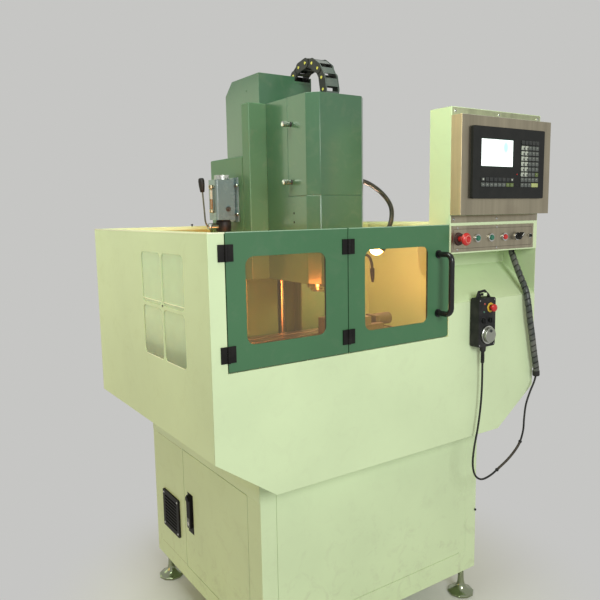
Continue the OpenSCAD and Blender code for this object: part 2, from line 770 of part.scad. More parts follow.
// Dial wheel with a grooved rim and a crank knob
module pendant_wheel() color(steel) from_front() translate([wheel_x, pendant_front, wheel_z])
    rotate([90, 0, 0]) {
        translate([0, 0, -15]) cylinder(r = 5, h = 16);
        translate([0, 0, slide_gap]) difference() {
            rotate_extrude($fn = 48) polygon([
                [0, 0], [wheel_d / 2, 0], [wheel_d / 2, 7], [wheel_d / 2 - 3, 10],
                [wheel_d / 2 - 9, 10], [wheel_d / 2 - 10, 14], [0, 14]
            ]);
            for (k = [0 : 19]) rotate([0, 0, k * 18]) translate([wheel_d / 2 + 1, 0, -1])
                cylinder(r = 2, h = 20);
        }
        translate([-8, 8, 14]) cylinder(r = 6, h = 8);
    }

module pendant_estop() color([0.8, 0.1, 0.1]) from_front()
    translate([pendant_stop_x, pendant_front, pendant_stop_z]) mushroom(13, 8, 6, 11);

module pendant_knob(x) translate([x, pendant_front, knob_z]) rotate([90, 0, 0]) {
    translate([0, 0, -10]) cylinder(r = 3, h = 11);
    translate([0, 0, slide_gap]) cylinder(r = 8.5, h = 8);
    translate([-1.5, -8.5, 8]) cube([3, 17, 4]);
}
module pendant_axis_knob() color(dark) from_front() pendant_knob(axis_knob_x);
module pendant_rate_knob() color(dark) from_front() pendant_knob(rate_knob_x);

conduit_r = 10;
cable_r = 3.5;
gland_r = 14;
gland_h = 8;
gland_x = half_w - 49;
gland_y = 72;
boot_h = 60;
cable_y = -24;
// Routes chosen by hand: the spiral-wrapped conduit, then the bare cable to the pendant
conduit_route = [
    [611, 72, 1326], [606, 50, 1285], [602, 22, 1235], [596, -8, 1186], [594, -22, 1136],
    [602, -24, 1086], [618, -24, 1020], [634, -24, 950], [647, -24, 898], [650, -24, 872]
];
cable_route = [
    [650, -24, 872], [641, -24, 843], [617, -24, 806], [596, -24, 762], [588, -24, 712],
    [584, -24, 664], [562, -24, 618], [512, -24, 580], [452, -24, 553], [404, -24, 536],
    [358, -24, 534], [325, -24, 558], [312, -24, 602], [318, -24, 660], [334, -24, 726],
    [346, -24, 800], [351, -24, 870], [351, -24, 955]
];

module cable_glands() color(dark) from_front() {
    // screwed gland under the control column
    translate([gland_x, gland_y, recess_top_z - gland_h]) difference() {
        union() {
            cylinder(r = gland_r + 4, h = gland_h, $fn = 6);
            translate([0, 0, gland_h - 0.5]) cylinder(r = gland_r, h = 16);
        }
        translate([0, 0, 2]) cylinder(r = 6, h = 40);
    }
    // ribbed boot under the pendant
    translate([pendant_cx, cable_y, pendant_z0 - boot_h]) rotate_extrude() polygon(concat(
        [[0, boot_h], [0, 0], [5, 0]],
        [for (i = [0 : 8], e = [0, 1, 2, 3]) [
            5.5 + i * 0.45 + (e == 1 || e == 2 ? 1.6 : 0), 1 + i * 6.4 + e * 1.6
        ]],
        [[9.5, boot_h]]
    ));
}

module pendant_cable() color(dark) from_front() tube(smooth(cable_route, 3), cable_r, 8, [0, 1, 0]);
module conduit() color(dark) from_front() tube(smooth(conduit_route, 3), conduit_r, 12, [1, 0, 0]);

// ---- mill ----

spindle_y = column_front - carriage_t - slide_gap - head_d / 2;
carriage_y = column_front - carriage_t - slide_gap;
head_y = carriage_y - head_d;
head_z = nose_z + 43;
head_top_z = head_z + head_h;
y_way_w = 170;
x_way_d = 120;
way_h = 20;
way_under = 10;

// Dovetail outline: wide at the top by way_under on each side, grown by a gap
module dovetail(w, h, gap) polygon([
    [-w / 2 + way_under - gap, -1], [w / 2 - way_under + gap, -1], [w / 2 + gap, h + gap],
    [-w / 2 - gap, h + gap]
]);

// Bed: hollow casting with a wide foot under the column and a dovetail on top
module bed() color(green) from_front() {
    difference() {
        union() {
            block([-bed_w / 2, spindle_y - 240, bed_z], [bed_w / 2, column_front, saddle_z - way_h]);
            block([-column_w / 2, column_front, bed_z],
                  [column_w / 2, column_front + column_d, saddle_z]);
            block([-bed_w / 2 - 30, spindle_y - 240, bed_z],
                  [bed_w / 2 + 30, column_front, bed_z + 28]);
        }
        block([-bed_w / 2 + 22, spindle_y - 218, bed_z - 1],
              [bed_w / 2 - 22, column_front + column_d - 24, saddle_z - way_h - 30]);
        for (x = [-1, 1], y = [spindle_y - 200, spindle_y, column_front - 40])
            translate([x * (bed_w / 2 + 14), y, bed_z - 1]) cylinder(r = 7, h = 40);
    }
    translate([0, 0, saddle_z - way_h]) upright(spindle_y - 240, column_front - spindle_y + 238)
        dovetail(y_way_w, way_h, 0);
}

module saddle() color(green) from_front() {
    low = saddle_z - way_h + slide_gap;
    difference() {
        block([-saddle_w / 2, spindle_y - 120, low], [saddle_w / 2, spindle_y + 120, table_z - 18]);
        translate([0, 0, saddle_z - way_h]) upright(spindle_y - 121, 242)
            dovetail(y_way_w, way_h, slide_gap);
        block([-40, spindle_y - 122, saddle_z + 12], [40, spindle_y + 122, saddle_z + 40]);
    }
    translate([0, spindle_y, table_z - 18]) along_x(-saddle_w / 2, saddle_w)
        dovetail(x_way_d, 18, 0);
}

t_slot_w = 12;
t_slot_pitch = 56;

module table() color(steel) from_front() difference() {
    block([-table_l / 2, spindle_y - table_d / 2, table_z - 18 + slide_gap],
          [table_l / 2, spindle_y + table_d / 2, table_top_z]);
    translate([0, spindle_y, table_z - 18]) along_x(-table_l / 2 - 1, table_l + 2)
        dovetail(x_way_d, 18, slide_gap);
    for (k = [-1 : 1]) translate([0, spindle_y + k * t_slot_pitch, 0]) {
        block([-table_l / 2 - 1, -t_slot_w / 2, table_top_z - 20],
              [table_l / 2 + 1, t_slot_w / 2, table_top_z + 1]);
        block([-table_l / 2 - 1, -t_slot_w, table_top_z - 22],
              [table_l / 2 + 1, t_slot_w, table_top_z - 12]);
    }
    // coolant gutters at both ends
    for (x = [-1, 1]) translate([x * (table_l / 2 - 18), 0, 0])
        block([-8, spindle_y - table_d / 2 + 10, table_top_z - 8],
              [8, spindle_y + table_d / 2 - 10, table_top_z + 1]);
}

// Machine vise lying along X: cast base with rails, fixed jaw and screw barrel
vise_w = 110;
vise_l = 230;
vise_h = 60;
vise_x = 122;
vise_y = spindle_y - 40;
screw_barrel_d = 46;
screw_barrel_l = 68;
jaw_t = 10;
jaw_opening = 60;

module at_vise() { translate([vise_x, vise_y, table_top_z]) children(); }

module vise_base() color([0.3, 0.34, 0.3]) from_front() at_vise() {
    difference() {
        block([-vise_l / 2, -vise_w / 2, 0], [vise_l / 2, vise_w / 2, 28]);
        block([-vise_l / 2 + 62, -22, 8], [vise_l / 2 - 20, 22, 29]);
    }
    block([-vise_l / 2, -vise_w / 2, 28], [-vise_l / 2 + 40, vise_w / 2, vise_h]);
    block([-vise_l / 2 + 40, -vise_w / 2, 34], [-vise_l / 2 + 40 + jaw_t, vise_w / 2, vise_h]);
    difference() {
        union() {
            block([vise_l / 2 - 20, -30, 0], [vise_l / 2, 30, 54]);
            translate([vise_l / 2, 0, 34]) rotate([0, 90, 0])
                cylinder(r = screw_barrel_d / 2, h = screw_barrel_l);
        }
        translate([vise_l / 2 + screw_barrel_l - 30, 0, 34]) rotate([0, 90, 0])
            cylinder(r = 13, h = 40);
    }
}

module vise_jaw() color([0.3, 0.34, 0.3]) from_front() at_vise() {
    x0 = -vise_l / 2 + 40 + jaw_t + jaw_opening;
    block([x0, -vise_w / 2, 34], [x0 + jaw_t, vise_w / 2, vise_h]);
    block([x0 + jaw_t, -vise_w / 2, 28 + slide_gap], [x0 + 55, vise_w / 2, vise_h]);
    block([x0 + 14, -22 + slide_gap, 12], [x0 + 51, 22 - slide_gap, 29]);
}

// Column: hollow casting with a T-slot down its front that guides the carriage
t_neck = 110;
t_foot = 160;
t_lip = 25;
t_depth = 90;
t_bridge = 12;
journal_r = 10;

module column() color(green) from_front() difference() {
    block([-column_w / 2, column_front, saddle_z],
          [column_w / 2, column_front + column_d, column_top_z]);
    block([-t_neck / 2, column_front - 1, saddle_z + 60],
          [t_neck / 2, column_front + t_lip + 1, column_top_z - t_bridge]);
    block([-t_foot / 2, column_front + t_lip, saddle_z + 60],
          [t_foot / 2, column_front + t_depth, column_top_z - t_bridge]);
    block([-column_w / 2 + 20, column_front + t_depth + 20, saddle_z - 1],
          [column_w / 2 - 20, column_front + column_d - 18, column_top_z - 40]);
    // seats of the screw's journals
    translate([0, screw_y, saddle_z + 30]) cylinder(r = journal_r + pin_gap, h = 40);
    translate([0, screw_y, column_top_z - t_bridge - 1])
        cylinder(r = journal_r + pin_gap, h = t_bridge + 2);
    block([-t_foot / 2 + 20, column_front + column_d - 30, saddle_z + 120],
          [t_foot / 2 - 20, column_front + column_d + 1, saddle_z + 420]);
}

screw_y = column_front + t_lip + 34;
tongue_h = 350;

// Ball screw with a journal at each end and the motor's coupling on top
module z_screw() color(steel) from_front() translate([0, screw_y, 0]) {
    translate([0, 0, saddle_z + 30 + slide_gap]) cylinder(r = journal_r, h = 40);
    translate([0, 0, saddle_z + 60 + slide_gap])
        cylinder(r = screw_d / 2, h = column_h - 60 - t_bridge - 2 * slide_gap);
    translate([0, 0, column_top_z - t_bridge - 1]) cylinder(r = journal_r, h = 60);
    translate([0, 0, column_top_z + 22]) cylinder(r = 22, h = 48);
}

module hood_outline(inset) polygon([
    [column_front + inset, column_top_z + (inset > 0 ? -1 : 0)],
    [column_front + column_d - inset, column_top_z + (inset > 0 ? -1 : 0)],
    [column_front + column_d - inset, column_top_z + hood_h - 48 - inset * 0.4],
    [column_front + column_d - 55 - inset * 0.4, column_top_z + hood_h - inset],
    [column_front + inset, column_top_z + hood_h - inset]
]);

carrier_x0 = 46;
link_w = 61;
link_h = 37;
plate_t = 3;
arc_links = 8;
arc_step = 180 / arc_links;
link_pitch = 2 * carrier_r * sin(arc_step / 2);
carrier_y = carriage_y - 11;
carrier_z = head_top_z + 46;
rear_links = floor((carrier_z - column_top_z - link_h) / link_pitch);

module motor_hood() color(green) from_front() difference() {
    along_x(-hood_w / 2, hood_w) hood_outline(0);
    along_x(-hood_w / 2 + sheet, hood_w - 2 * sheet) hood_outline(sheet);
    // notch that the cable carrier goes in through
    block([carrier_x0 - 5, column_front - 1, column_top_z + hood_h - 26],
          [carrier_x0 + link_w + 5, column_front + 62, column_top_z + hood_h + 1]);
}

motor_w = 80;
motor_h = 140;
standoff_h = 75;

// Servo motor on four standoffs above the screw's coupling
module z_motor() color(dark) from_front() translate([0, screw_y, column_top_z]) {
    for (x = [-1, 1], y = [-1, 1]) translate([x * motor_w * 0.4, y * motor_w * 0.4, 0])
        cylinder(r = 5, h = standoff_h + 1);
    translate([-motor_w / 2, -motor_w / 2, standoff_h]) cube([motor_w, motor_w, 12]);
    translate([-motor_w / 2 + 3, -motor_w / 2 + 3, standoff_h]) linear_extrude(motor_h)
        round_rect(motor_w - 6, motor_w - 6, 8);
    translate([-15, 0, standoff_h + motor_h - 45]) cube([30, motor_w / 2 + 14, 26]);
}

// Carriage: plate on the column's front face with a T-shaped tongue in its slot
module head_carriage() color(green) from_front() difference() {
    union() {
        block([-column_w / 2, carriage_y, head_z], [column_w / 2, carriage_y + carriage_t, head_top_z]);
        block([-t_neck / 2 + slide_gap, carriage_y + carriage_t - 1, head_z],
              [t_neck / 2 - slide_gap, column_front + t_lip + slide_gap + 1, head_z + tongue_h]);
        block([-t_foot / 2 + slide_gap, column_front + t_lip + slide_gap, head_z],
              [t_foot / 2 - slide_gap, column_front + t_depth - slide_gap, head_z + tongue_h]);
    }
    translate([0, screw_y, head_z - 1]) cylinder(r = screw_d / 2 + pin_gap, h = 500);
}

module head_section(inset) polygon([
    [-head_w / 2 + inset, carriage_y], [-head_w / 2 + inset, head_y + head_chamfer + inset * 0.4],
    [-head_w / 2 + head_chamfer + inset * 0.4, head_y + inset],
    [head_w / 2 - head_chamfer - inset * 0.4, head_y + inset],
    [head_w / 2 - inset, head_y + head_chamfer + inset * 0.4], [head_w / 2 - inset, carriage_y]
]);

cover_z = head_top_z - cover_h;
spindle_r = 32;

module head_housing() color(green) from_front() difference() {
    translate([0, 0, head_z]) linear_extrude(head_h) head_section(0);
    block([-head_w, head_y - 1, cover_z], [head_w, head_y + cover_d, head_top_z + 1]);
    // motor space behind the cover
    block([-head_w / 2 + 12, head_y + cover_d - 1, cover_z],
          [head_w / 2 - 12, carriage_y - 20, head_top_z - 6]);
    translate([0, spindle_y, head_z - 1]) cylinder(r = spindle_r + pin_gap, h = head_h);
    for (z = [cover_z - 59, cover_z - 90]) translate([-head_w / 2 - 1, head_y + 113, z])
        rotate([0, 90, 0]) cylinder(r = 4, h = 12);
}

module head_cover() color(green) from_front() {
    difference() {
        translate([0, 0, cover_z]) linear_extrude(cover_h) head_section(0);
        translate([0, 0, cover_z - 1]) linear_extrude(cover_h + 1 - sheet) head_section(sheet);
        block([-head_w, head_y + cover_d, cover_z - 2], [head_w, carriage_y + 1, head_top_z + 1]);
    }
    // captive thumbscrews on both sides
    for (s = [-1, 1], z = [cover_z + 48, cover_z + 243])
        translate([s * head_w / 2, head_y + cover_d - 19, z]) rotate([0, s * 90, 0]) {
            cylinder(r = 6, h = 8);
            translate([0, 0, 8]) cylinder(r = 9, h = 14);
        }
}

// Spindle: pulley on top, shaft, flanged nose and a bore with a tapered mouth
tool_bore_r = 12.05;
module spindle() color(steel) from_front() translate([0, spindle_y, 0]) difference() {
    rotate_extrude($fn = 48) polygon([
        [0, nose_z], [28, nose_z], [30, nose_z + 3], [30, nose_z + 14], [42, nose_z + 14],
        [42, head_z - slide_gap], [spindle_r, head_z - slide_gap], [spindle_r, cover_z + 10],
        [44, cover_z + 12], [44, cover_z + 16], [40, cover_z + 18], [40, cover_z + 40],
        [44, cover_z + 42], [44, cover_z + 46], [0, cover_z + 46]
    ]);
    translate([0, 0, nose_z - 1]) cylinder(r = tool_bore_r, h = 105);
    translate([0, 0, nose_z - 0.01]) cylinder(r1 = 15.9, r2 = tool_bore_r, h = 24, $fn = 48);
}

// Link of the cable carrier, from its pin at the origin to the next pin along Z. Its two
// side plates lie outside its neighbours' plates, or are lower and lie inside them when
// it is an odd link. An end link is flat at its start or end, where it is screwed down.
module carrier_link(odd, length = link_pitch, flat = "none") {
    inset = odd ? plate_t - 0.2 : 0;
    plate_h = odd ? link_h - 3 : link_h;
    for (x = [inset, link_w - plate_t - inset]) along_x(x, plate_t) {
        if (flat != "start") circle(plate_h / 2);
        if (flat != "end") translate([0, length]) circle(plate_h / 2);
        translate([-plate_h / 2, 0]) square([plate_h, length]);
    }
    // wide lid outside, narrow bar inside
    block([1, -plate_h / 2 + 1, length * 0.16], [link_w - 1, -plate_h / 2 + 4, length * 0.84]);
    block([1, plate_h / 2 - 5, length * 0.34], [link_w - 1, plate_h / 2 - 2, length * 0.62]);
    if (flat != "start") for (x = [-1.5, link_w - 6]) along_x(x, 7.5) circle(5);
}

module cable_carrier() color(dark) from_front() translate([carrier_x0, carrier_y, carrier_z]) {
    front_l = carrier_z - head_top_z;
    rear_l = carrier_z - rear_links * link_pitch - column_top_z - pin_gap;
    translate([0, -carrier_r, -front_l]) carrier_link(true, front_l, "start");
    for (k = [0 : arc_links - 1]) rotate([-arc_step * (k + 0.5), 0, 0])
        translate([0, -carrier_r * cos(arc_step / 2), -link_pitch / 2]) carrier_link(k % 2 == 1);
    for (k = [0 : rear_links - 1]) translate([0, carrier_r, -k * link_pitch])
        rotate([180, 0, 0]) carrier_link(k % 2 == 1);
    translate([0, carrier_r, -rear_links * link_pitch]) rotate([180, 0, 0])
        carrier_link(rear_links % 2 == 1, rear_l, "end");
}

// ---- oil pump on the column ----

lube_x = -column_w / 2;
lube_y = column_front + 46;
lube_z = column_top_z - 232;
flange_t = 6;
tank_w = 82;
tank_d = 66;
tank_h = 148;
tank_x = -flange_t - tank_w;
cap_r = 28;
gauge_y = 28;
gauge_low = 33;
gauge_high = 122;
gauge_out = 13;
pump_x = -45;
pump_r = 29;
pump_h = 45;
barrel_z = -24;
barrel_end = -100;

module lubricator() color([0.45, 0.53, 0.56]) from_front() translate([lube_x, lube_y, lube_z]) {
    // tank with rounded upright edges, screwed on by its flange plate
    translate([tank_x, 0, 0]) linear_extrude(tank_h) round_rect(tank_w, tank_d, 8);
    block([-flange_t, -12, -8], [0, tank_d + 12, tank_h + 8]);
    // fluted filler cap
    translate([tank_x + tank_w / 2, tank_d / 2, tank_h]) difference() {
        cylinder(r = cap_r, h = 17);
        for (k = [0 : 23]) rotate([0, 0, k * 15]) translate([cap_r + 1, 0, 3]) cylinder(r = 2, h = 15);
    }
    // adjusting screw on the front
    forward([-41, 0, 40], 9, 7);
    forward([-41, -6, 40], 5, 7);
    // level gauge: a tube between two fittings
    for (z = [gauge_low, gauge_high]) translate([tank_x + 1, gauge_y, z]) rotate([0, -90, 0])
        cylinder(r = 7, h = gauge_out + 1);
    translate([tank_x - gauge_out + 6, gauge_y, gauge_low])
        cylinder(r = 4.5, h = gauge_high - gauge_low);
    // round pump under the tank, with the lever's barrel on its left
    translate([pump_x, tank_d / 2, -pump_h]) rotate_extrude() polygon([
        [0, 0], [pump_r - 4, 0], [pump_r, 4], [pump_r, pump_h - 8], [pump_r - 5, pump_h],
        [0, pump_h]
    ]);
    translate([pump_x, tank_d / 2, barrel_z]) rotate([0, -90, 0])
        cylinder(r = 12, h = pump_x - barrel_end);
}

lever_r = 3;
lever_hub_t = 8;
lever_x = lube_x + barrel_end - slide_gap - lever_hub_t / 2;
lever_route = [[-2, 0, 0], [-17, 0, 6], [-27, 0, 20], [-31, 0, 45], [-34, 0, 90], [-37, 0, 132]];

// Pump lever: hub, bent rod and grip
module lubricator_lever() color(dark) from_front()
    translate([lever_x, lube_y + tank_d / 2, lube_z + barrel_z]) {
        rotate([0, -90, 0]) translate([0, 0, -lever_hub_t / 2]) cylinder(r = 13, h = lever_hub_t);
        tube(smooth(lever_route, 3), lever_r, 10, [0, 1, 0]);
        translate(lever_route[5] - [0, 0, 6]) rotate([0, -4, 0]) cylinder(r = 9, h = 52);
    }

lamp_base_y = head_y + cover_d + 26;
lamp_tube_r = 9;
lamp_route = [
    [head_w / 2 + 8, lamp_base_y, head_z + 367], [head_w / 2 + 50, 460, head_z + 366],
    [head_w / 2 + 110, 440, head_z + 350], [head_w / 2 + 168, 424, head_z + 310],
    [head_w / 2 + 198, 410, head_z + 262], [head_w / 2 + 188, 396, head_z + 210],
    [head_w / 2 + 150, 380, head_z + 160]
];

// Work lamp: base on the head, gooseneck and an open shade
module work_lamp() color(dark) from_front() {
    translate([head_w / 2, lamp_base_y, head_z + 367]) rotate([0, 90, 0]) cylinder(r = 20, h = 12);
    tube(smooth(lamp_route, 4), lamp_tube_r, 10, [0, 1, 0]);
    translate(lamp_route[6]) rotate([20, 28, 0]) translate([0, 0, -63]) difference() {
        rotate_extrude() polygon([[0, 0], [32, 0], [32, 34], [20, 60], [10, 68], [0, 68]]);
        translate([0, 0, -1]) cylinder(r = 29, h = 22);
    }
}

base_cabinet();
base_front_panel();
levelling_feet();
side_door();
side_door_latch();
fan_housing();
fan_rotor();
drive_modules();
chip_tray();
front_panel();
left_wall();
right_wall();
rear_wall();
side_window_pane();
post_hinges();
left_door();
left_door_pane();
left_door_hinges();
right_door();
right_door_pane();
right_door_hinges();
door_handle();
control_column();
panel_box();
control_panel();
panel_screen();
keypad();
button_plate();
button_bezels();
estop_button();
green_button_left();
green_button_right();
red_button();
selector_knob();
pendant_hook();
pendant_body();
pendant_wheel();
pendant_estop();
pendant_axis_knob();
pendant_rate_knob();
cable_glands();
pendant_cable();
conduit();
bed();
saddle();
table();
vise_base();
vise_jaw();
column();
motor_hood();
z_motor();
z_screw();
head_carriage();
head_housing();
head_cover();
spindle();
work_lamp();
cable_carrier();
lubricator();
lubricator_lever();
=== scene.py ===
"""The looks of a CNC drill mill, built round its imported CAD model. The sections follow
the machine as it is put together: the view and the cords first, then the base cabinet,
the enclosure, the doors, the control box, the pendant, the mill and its oil pump, and
the light last."""

import math

import bmesh
import bpy
from mathutils import Matrix, Vector


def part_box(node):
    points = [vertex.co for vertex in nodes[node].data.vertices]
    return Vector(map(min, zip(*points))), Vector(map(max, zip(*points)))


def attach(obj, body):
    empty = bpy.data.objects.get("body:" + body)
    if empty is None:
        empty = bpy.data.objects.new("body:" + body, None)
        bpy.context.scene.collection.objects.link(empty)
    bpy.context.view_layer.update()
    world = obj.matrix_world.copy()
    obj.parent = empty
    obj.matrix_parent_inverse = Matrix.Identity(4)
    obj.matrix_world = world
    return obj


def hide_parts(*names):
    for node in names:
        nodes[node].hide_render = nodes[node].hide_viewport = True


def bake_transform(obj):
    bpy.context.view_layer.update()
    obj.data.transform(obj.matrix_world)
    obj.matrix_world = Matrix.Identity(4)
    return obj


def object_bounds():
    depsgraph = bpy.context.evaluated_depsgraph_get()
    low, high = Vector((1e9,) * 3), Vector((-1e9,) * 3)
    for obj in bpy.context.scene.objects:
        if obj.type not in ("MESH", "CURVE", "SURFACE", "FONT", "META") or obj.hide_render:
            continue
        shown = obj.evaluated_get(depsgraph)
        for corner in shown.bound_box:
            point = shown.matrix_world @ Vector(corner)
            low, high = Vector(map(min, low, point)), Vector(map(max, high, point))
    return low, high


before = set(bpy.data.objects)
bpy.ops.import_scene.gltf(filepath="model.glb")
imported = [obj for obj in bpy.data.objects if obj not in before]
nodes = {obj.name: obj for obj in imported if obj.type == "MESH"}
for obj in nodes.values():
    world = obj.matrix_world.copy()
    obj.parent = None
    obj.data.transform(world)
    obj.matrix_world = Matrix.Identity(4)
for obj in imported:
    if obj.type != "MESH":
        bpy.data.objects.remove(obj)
scene = bpy.context.scene
cad_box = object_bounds()

# ---- the view ----
# A 38 mm lens at eye height, standing in front of the machine's left front corner and
# looking slightly down, so that the front and the left side both show.

lens_mm = 38.44
stand = Vector((-1.3658, -1.9048, 1.4747))
yaw, pitch, roll = (math.radians(a) for a in (33.93, 7.71, -0.97))
ahead = Vector((math.sin(yaw) * math.cos(pitch), math.cos(yaw) * math.cos(pitch), -math.sin(pitch)))
level_right = Vector((math.cos(yaw), -math.sin(yaw), 0))
level_up = level_right.cross(ahead)
right = level_right * math.cos(roll) + level_up * math.sin(roll)
up = level_up * math.cos(roll) - level_right * math.sin(roll)

camera = bpy.data.objects.new("camera", bpy.data.cameras.new("camera"))
scene.collection.objects.link(camera)
camera.data.lens, camera.data.sensor_width = lens_mm, 36
camera.data.clip_end = 60
camera.matrix_world = Matrix.Translation(stand) @ Matrix((right, up, -ahead)).transposed().to_4x4()
scene.camera = camera

# ---- the pendant's cable ----
# A round black rubber cable leaves a gland under the control box inside a spiral-wrapped
# bundle. Where the wrap ends it hangs on alone, swings below the enclosure's corner and
# comes up into the ribbed boot under the pendant.

front_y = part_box("front_panel")[0].y


def place(x, y, z):
    """Millimetres right of the middle, behind the enclosure's front and above the floor."""
    return Vector((x / 1000, front_y + y / 1000, z / 1000))


def smooth_route(points, steps):
    """Points of one smooth curve through a route."""
    found = []
    for i in range(len(points) - 1):
        a, b, c, d = (points[max(i - 1, 0)], points[i], points[i + 1],
                      points[min(i + 2, len(points) - 1)])
        for step in range(steps):
            t = step / steps
            found.append(0.5 * (2 * b + (c - a) * t + (2 * a - 5 * b + 4 * c - d) * t * t
                                + (3 * b - a - 3 * c + d) * t * t * t))
    return found + [points[-1]]


def route_frames(path):
    """At each point of a path: the distance so far, the point, and two directions across it
    that don't twist."""
    frames, so_far, side = [], 0.0, None
    for i, point in enumerate(path):
        onward = (path[min(i + 1, len(path) - 1)] - path[max(i - 1, 0)]).normalized()
        if side is None:
            side = onward.orthogonal().normalized()
        side = (side - onward * side.dot(onward)).normalized()
        if i:
            so_far += (point - path[i - 1]).length
        frames.append((so_far, point, side, onward.cross(side)))
    return frames


def bend_along(mesh, path):
    """Bends a straight shape that stands along Z onto a path, Z being the distance along it."""
    frames = route_frames(path)
    for vert in mesh.verts:
        z = min(max(vert.co.z, 0.0), frames[-1][0])
        k = next(k for k in range(1, len(frames)) if z <= frames[k][0] + 1e-9)
        (d0, p0, a0, b0), (d1, p1, a1, b1) = frames[k - 1], frames[k]
        t = (z - d0) / (d1 - d0)
        vert.co = (p0.lerp(p1, t) + vert.co.x * a0.lerp(a1, t).normalized()
                   + vert.co.y * b0.lerp(b1, t).normalized())


def ridden(piece, body):
    """Puts a new piece in the scene, and on a body if one is given."""
    scene.collection.objects.link(piece)
    if body:
        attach(piece, body)
    return piece


def new_piece(name, mesh, look, body, angle=35):
    """Makes a piece of a bmesh, dresses it and lets it ride on a body."""
    piece = bpy.data.objects.new(name, bpy.data.meshes.new(name))
    mesh.to_mesh(piece.data)
    mesh.free()
    piece.data.shade_smooth()
    piece.data.set_sharp_from_angle(angle=math.radians(angle))
    piece.data.materials.append(look)
    return ridden(piece, body)


def new_cord(name, path, radius, look, body):
    """A round cord as one open curve."""
    curve = bpy.data.curves.new(name, "CURVE")
    curve.dimensions, curve.bevel_depth, curve.bevel_resolution = "3D", radius, 4
    curve.use_fill_caps = True
    line = curve.splines.new("POLY")
    line.points.add(len(path) - 1)
    for spot, point in zip(line.points, path):
        spot.co = (*point, 1)
    line.use_smooth = True
    curve.materials.append(look)
    return ridden(bpy.data.objects.new(name, curve), body)


def spun(mesh, profile, steps=32):
    """Turns a profile of (radius, height) points in millimetres about Z in a bmesh."""
    line = [mesh.verts.new((r / 1000, 0, h / 1000)) for r, h in profile]
    edges = [mesh.edges.new(pair) for pair in zip(line, line[1:])]
    bmesh.ops.spin(mesh, geom=line + edges, axis=(0, 0, 1), cent=(0, 0, 0), steps=steps,
                   angle=2 * math.pi, use_merge=True)
    bmesh.ops.remove_doubles(mesh, verts=mesh.verts, dist=1e-6)
    bmesh.ops.recalc_face_normals(mesh, faces=mesh.faces)


def stand_up(mesh, at, toward):
    """Turns a bmesh made along Z so that it points a way, and puts it in its place."""
    aim = Vector(toward).to_track_quat("Z", "Y").to_matrix().to_4x4()
    mesh.transform(Matrix.Translation(at) @ aim)


def turned(name, profile, look, body, at, toward=(0, -1, 0), steps=32):
    """A round piece: a profile turned about an axis, which points to the front if not told."""
    mesh = bmesh.new()
    spun(mesh, profile, steps)
    stand_up(mesh, at, toward)
    return new_piece(name, mesh, look, body)


def add_node(tree, kind, inputs=(), **settings):
    """A shader node with its settings, and its inputs linked or given a value."""
    node = tree.nodes.new("ShaderNode" + kind)
    for key, value in settings.items():
        setattr(node, key, value)
    for key, value in dict(inputs).items():
        if isinstance(value, bpy.types.NodeSocket):
            tree.links.new(value, node.inputs[key])
        else:
            node.inputs[key].default_value = value
    return node


def calc(tree, operation, first, second, clamp=False):
    """The result of a sum of two values, or of a value and a socket."""
    return add_node(tree, "Math", {0: first, 1: second}, operation=operation,
                    use_clamp=clamp).outputs[0]


def spread(tree, value, low, high, to_low=0.0, to_high=1.0):
    """A value brought from one range to another and held inside it."""
    return add_node(tree, "MapRange", {"Value": value, "From Min": low, "From Max": high,
                                       "To Min": to_low, "To Max": to_high}).outputs[0]


def noise(tree, spot, scale, detail, **more):
    """A cloudy mask at a scale, made of so many finer layers."""
    return add_node(tree, "TexNoise", {"Vector": spot, "Scale": scale, "Detail": detail,
                                       **more}).outputs["Fac"]


def blend_colour(tree, share, first, second):
    """Two colours mixed by a share."""
    mix = tree.nodes.new("ShaderNodeMix")
    mix.data_type = "RGBA"
    for socket, value in zip((mix.inputs["Factor"], mix.inputs["A"], mix.inputs["B"]),
                             (share, first, second)):
        if isinstance(value, bpy.types.NodeSocket):
            tree.links.new(value, socket)
        else:
            socket.default_value = value
    return mix.outputs["Result"]


def new_skin(name, inputs):
    """A node group that works out a skin: the group, its inputs, and a point on the piece."""
    skin = bpy.data.node_groups.new(name, "ShaderNodeTree")
    for label, kind, value in inputs:
        socket = skin.interface.new_socket(label, in_out="INPUT", socket_type="NodeSocket" + kind)
        socket.default_value = value
    for label, kind in (("Colour", "Color"), ("Roughness", "Float"), ("Height", "Float")):
        skin.interface.new_socket(label, in_out="OUTPUT", socket_type="NodeSocket" + kind)
    enter = skin.nodes.new("NodeGroupInput").outputs
    skin.nodes.new("NodeGroupOutput")
    return skin, enter, add_node(skin, "TexCoord").outputs["Object"]


def end_skin(skin, colour, roughness, height):
    """Leads what a skin works out to the group's outputs."""
    leave = skin.nodes["Group Output"].inputs
    for label, value in (("Colour", colour), ("Roughness", roughness), ("Height", height)):
        skin.links.new(value, leave[label])


def blank_look(name):
    """A new material and its tree of nodes."""
    look = bpy.data.materials.new(name)
    look.use_nodes = True
    return look, look.node_tree


def new_look(name, skin, values, bump, metallic=0.0, coat=0.0, gleam=0.5):
    """A material: a Principled shader driven by one of the skin groups with its own values."""
    look, tree = blank_look(name)
    shader = tree.nodes["Principled BSDF"].inputs
    for label, value in (("Metallic", metallic), ("Specular IOR Level", gleam),
                         ("Coat Weight", coat), ("Coat Roughness", 0.12)):
        shader[label].default_value = value
    use = tree.nodes.new("ShaderNodeGroup")
    use.node_tree = skin
    for label, value in values.items():
        use.inputs[label].default_value = value
    tree.links.new(use.outputs["Colour"], shader["Base Color"])
    tree.links.new(use.outputs["Roughness"], shader["Roughness"])
    relief = add_node(tree, "Bump", {"Height": use.outputs["Height"], "Strength": 0.35,
                                     "Distance": bump})
    tree.links.new(relief.outputs[0], shader["Normal"])
    return look


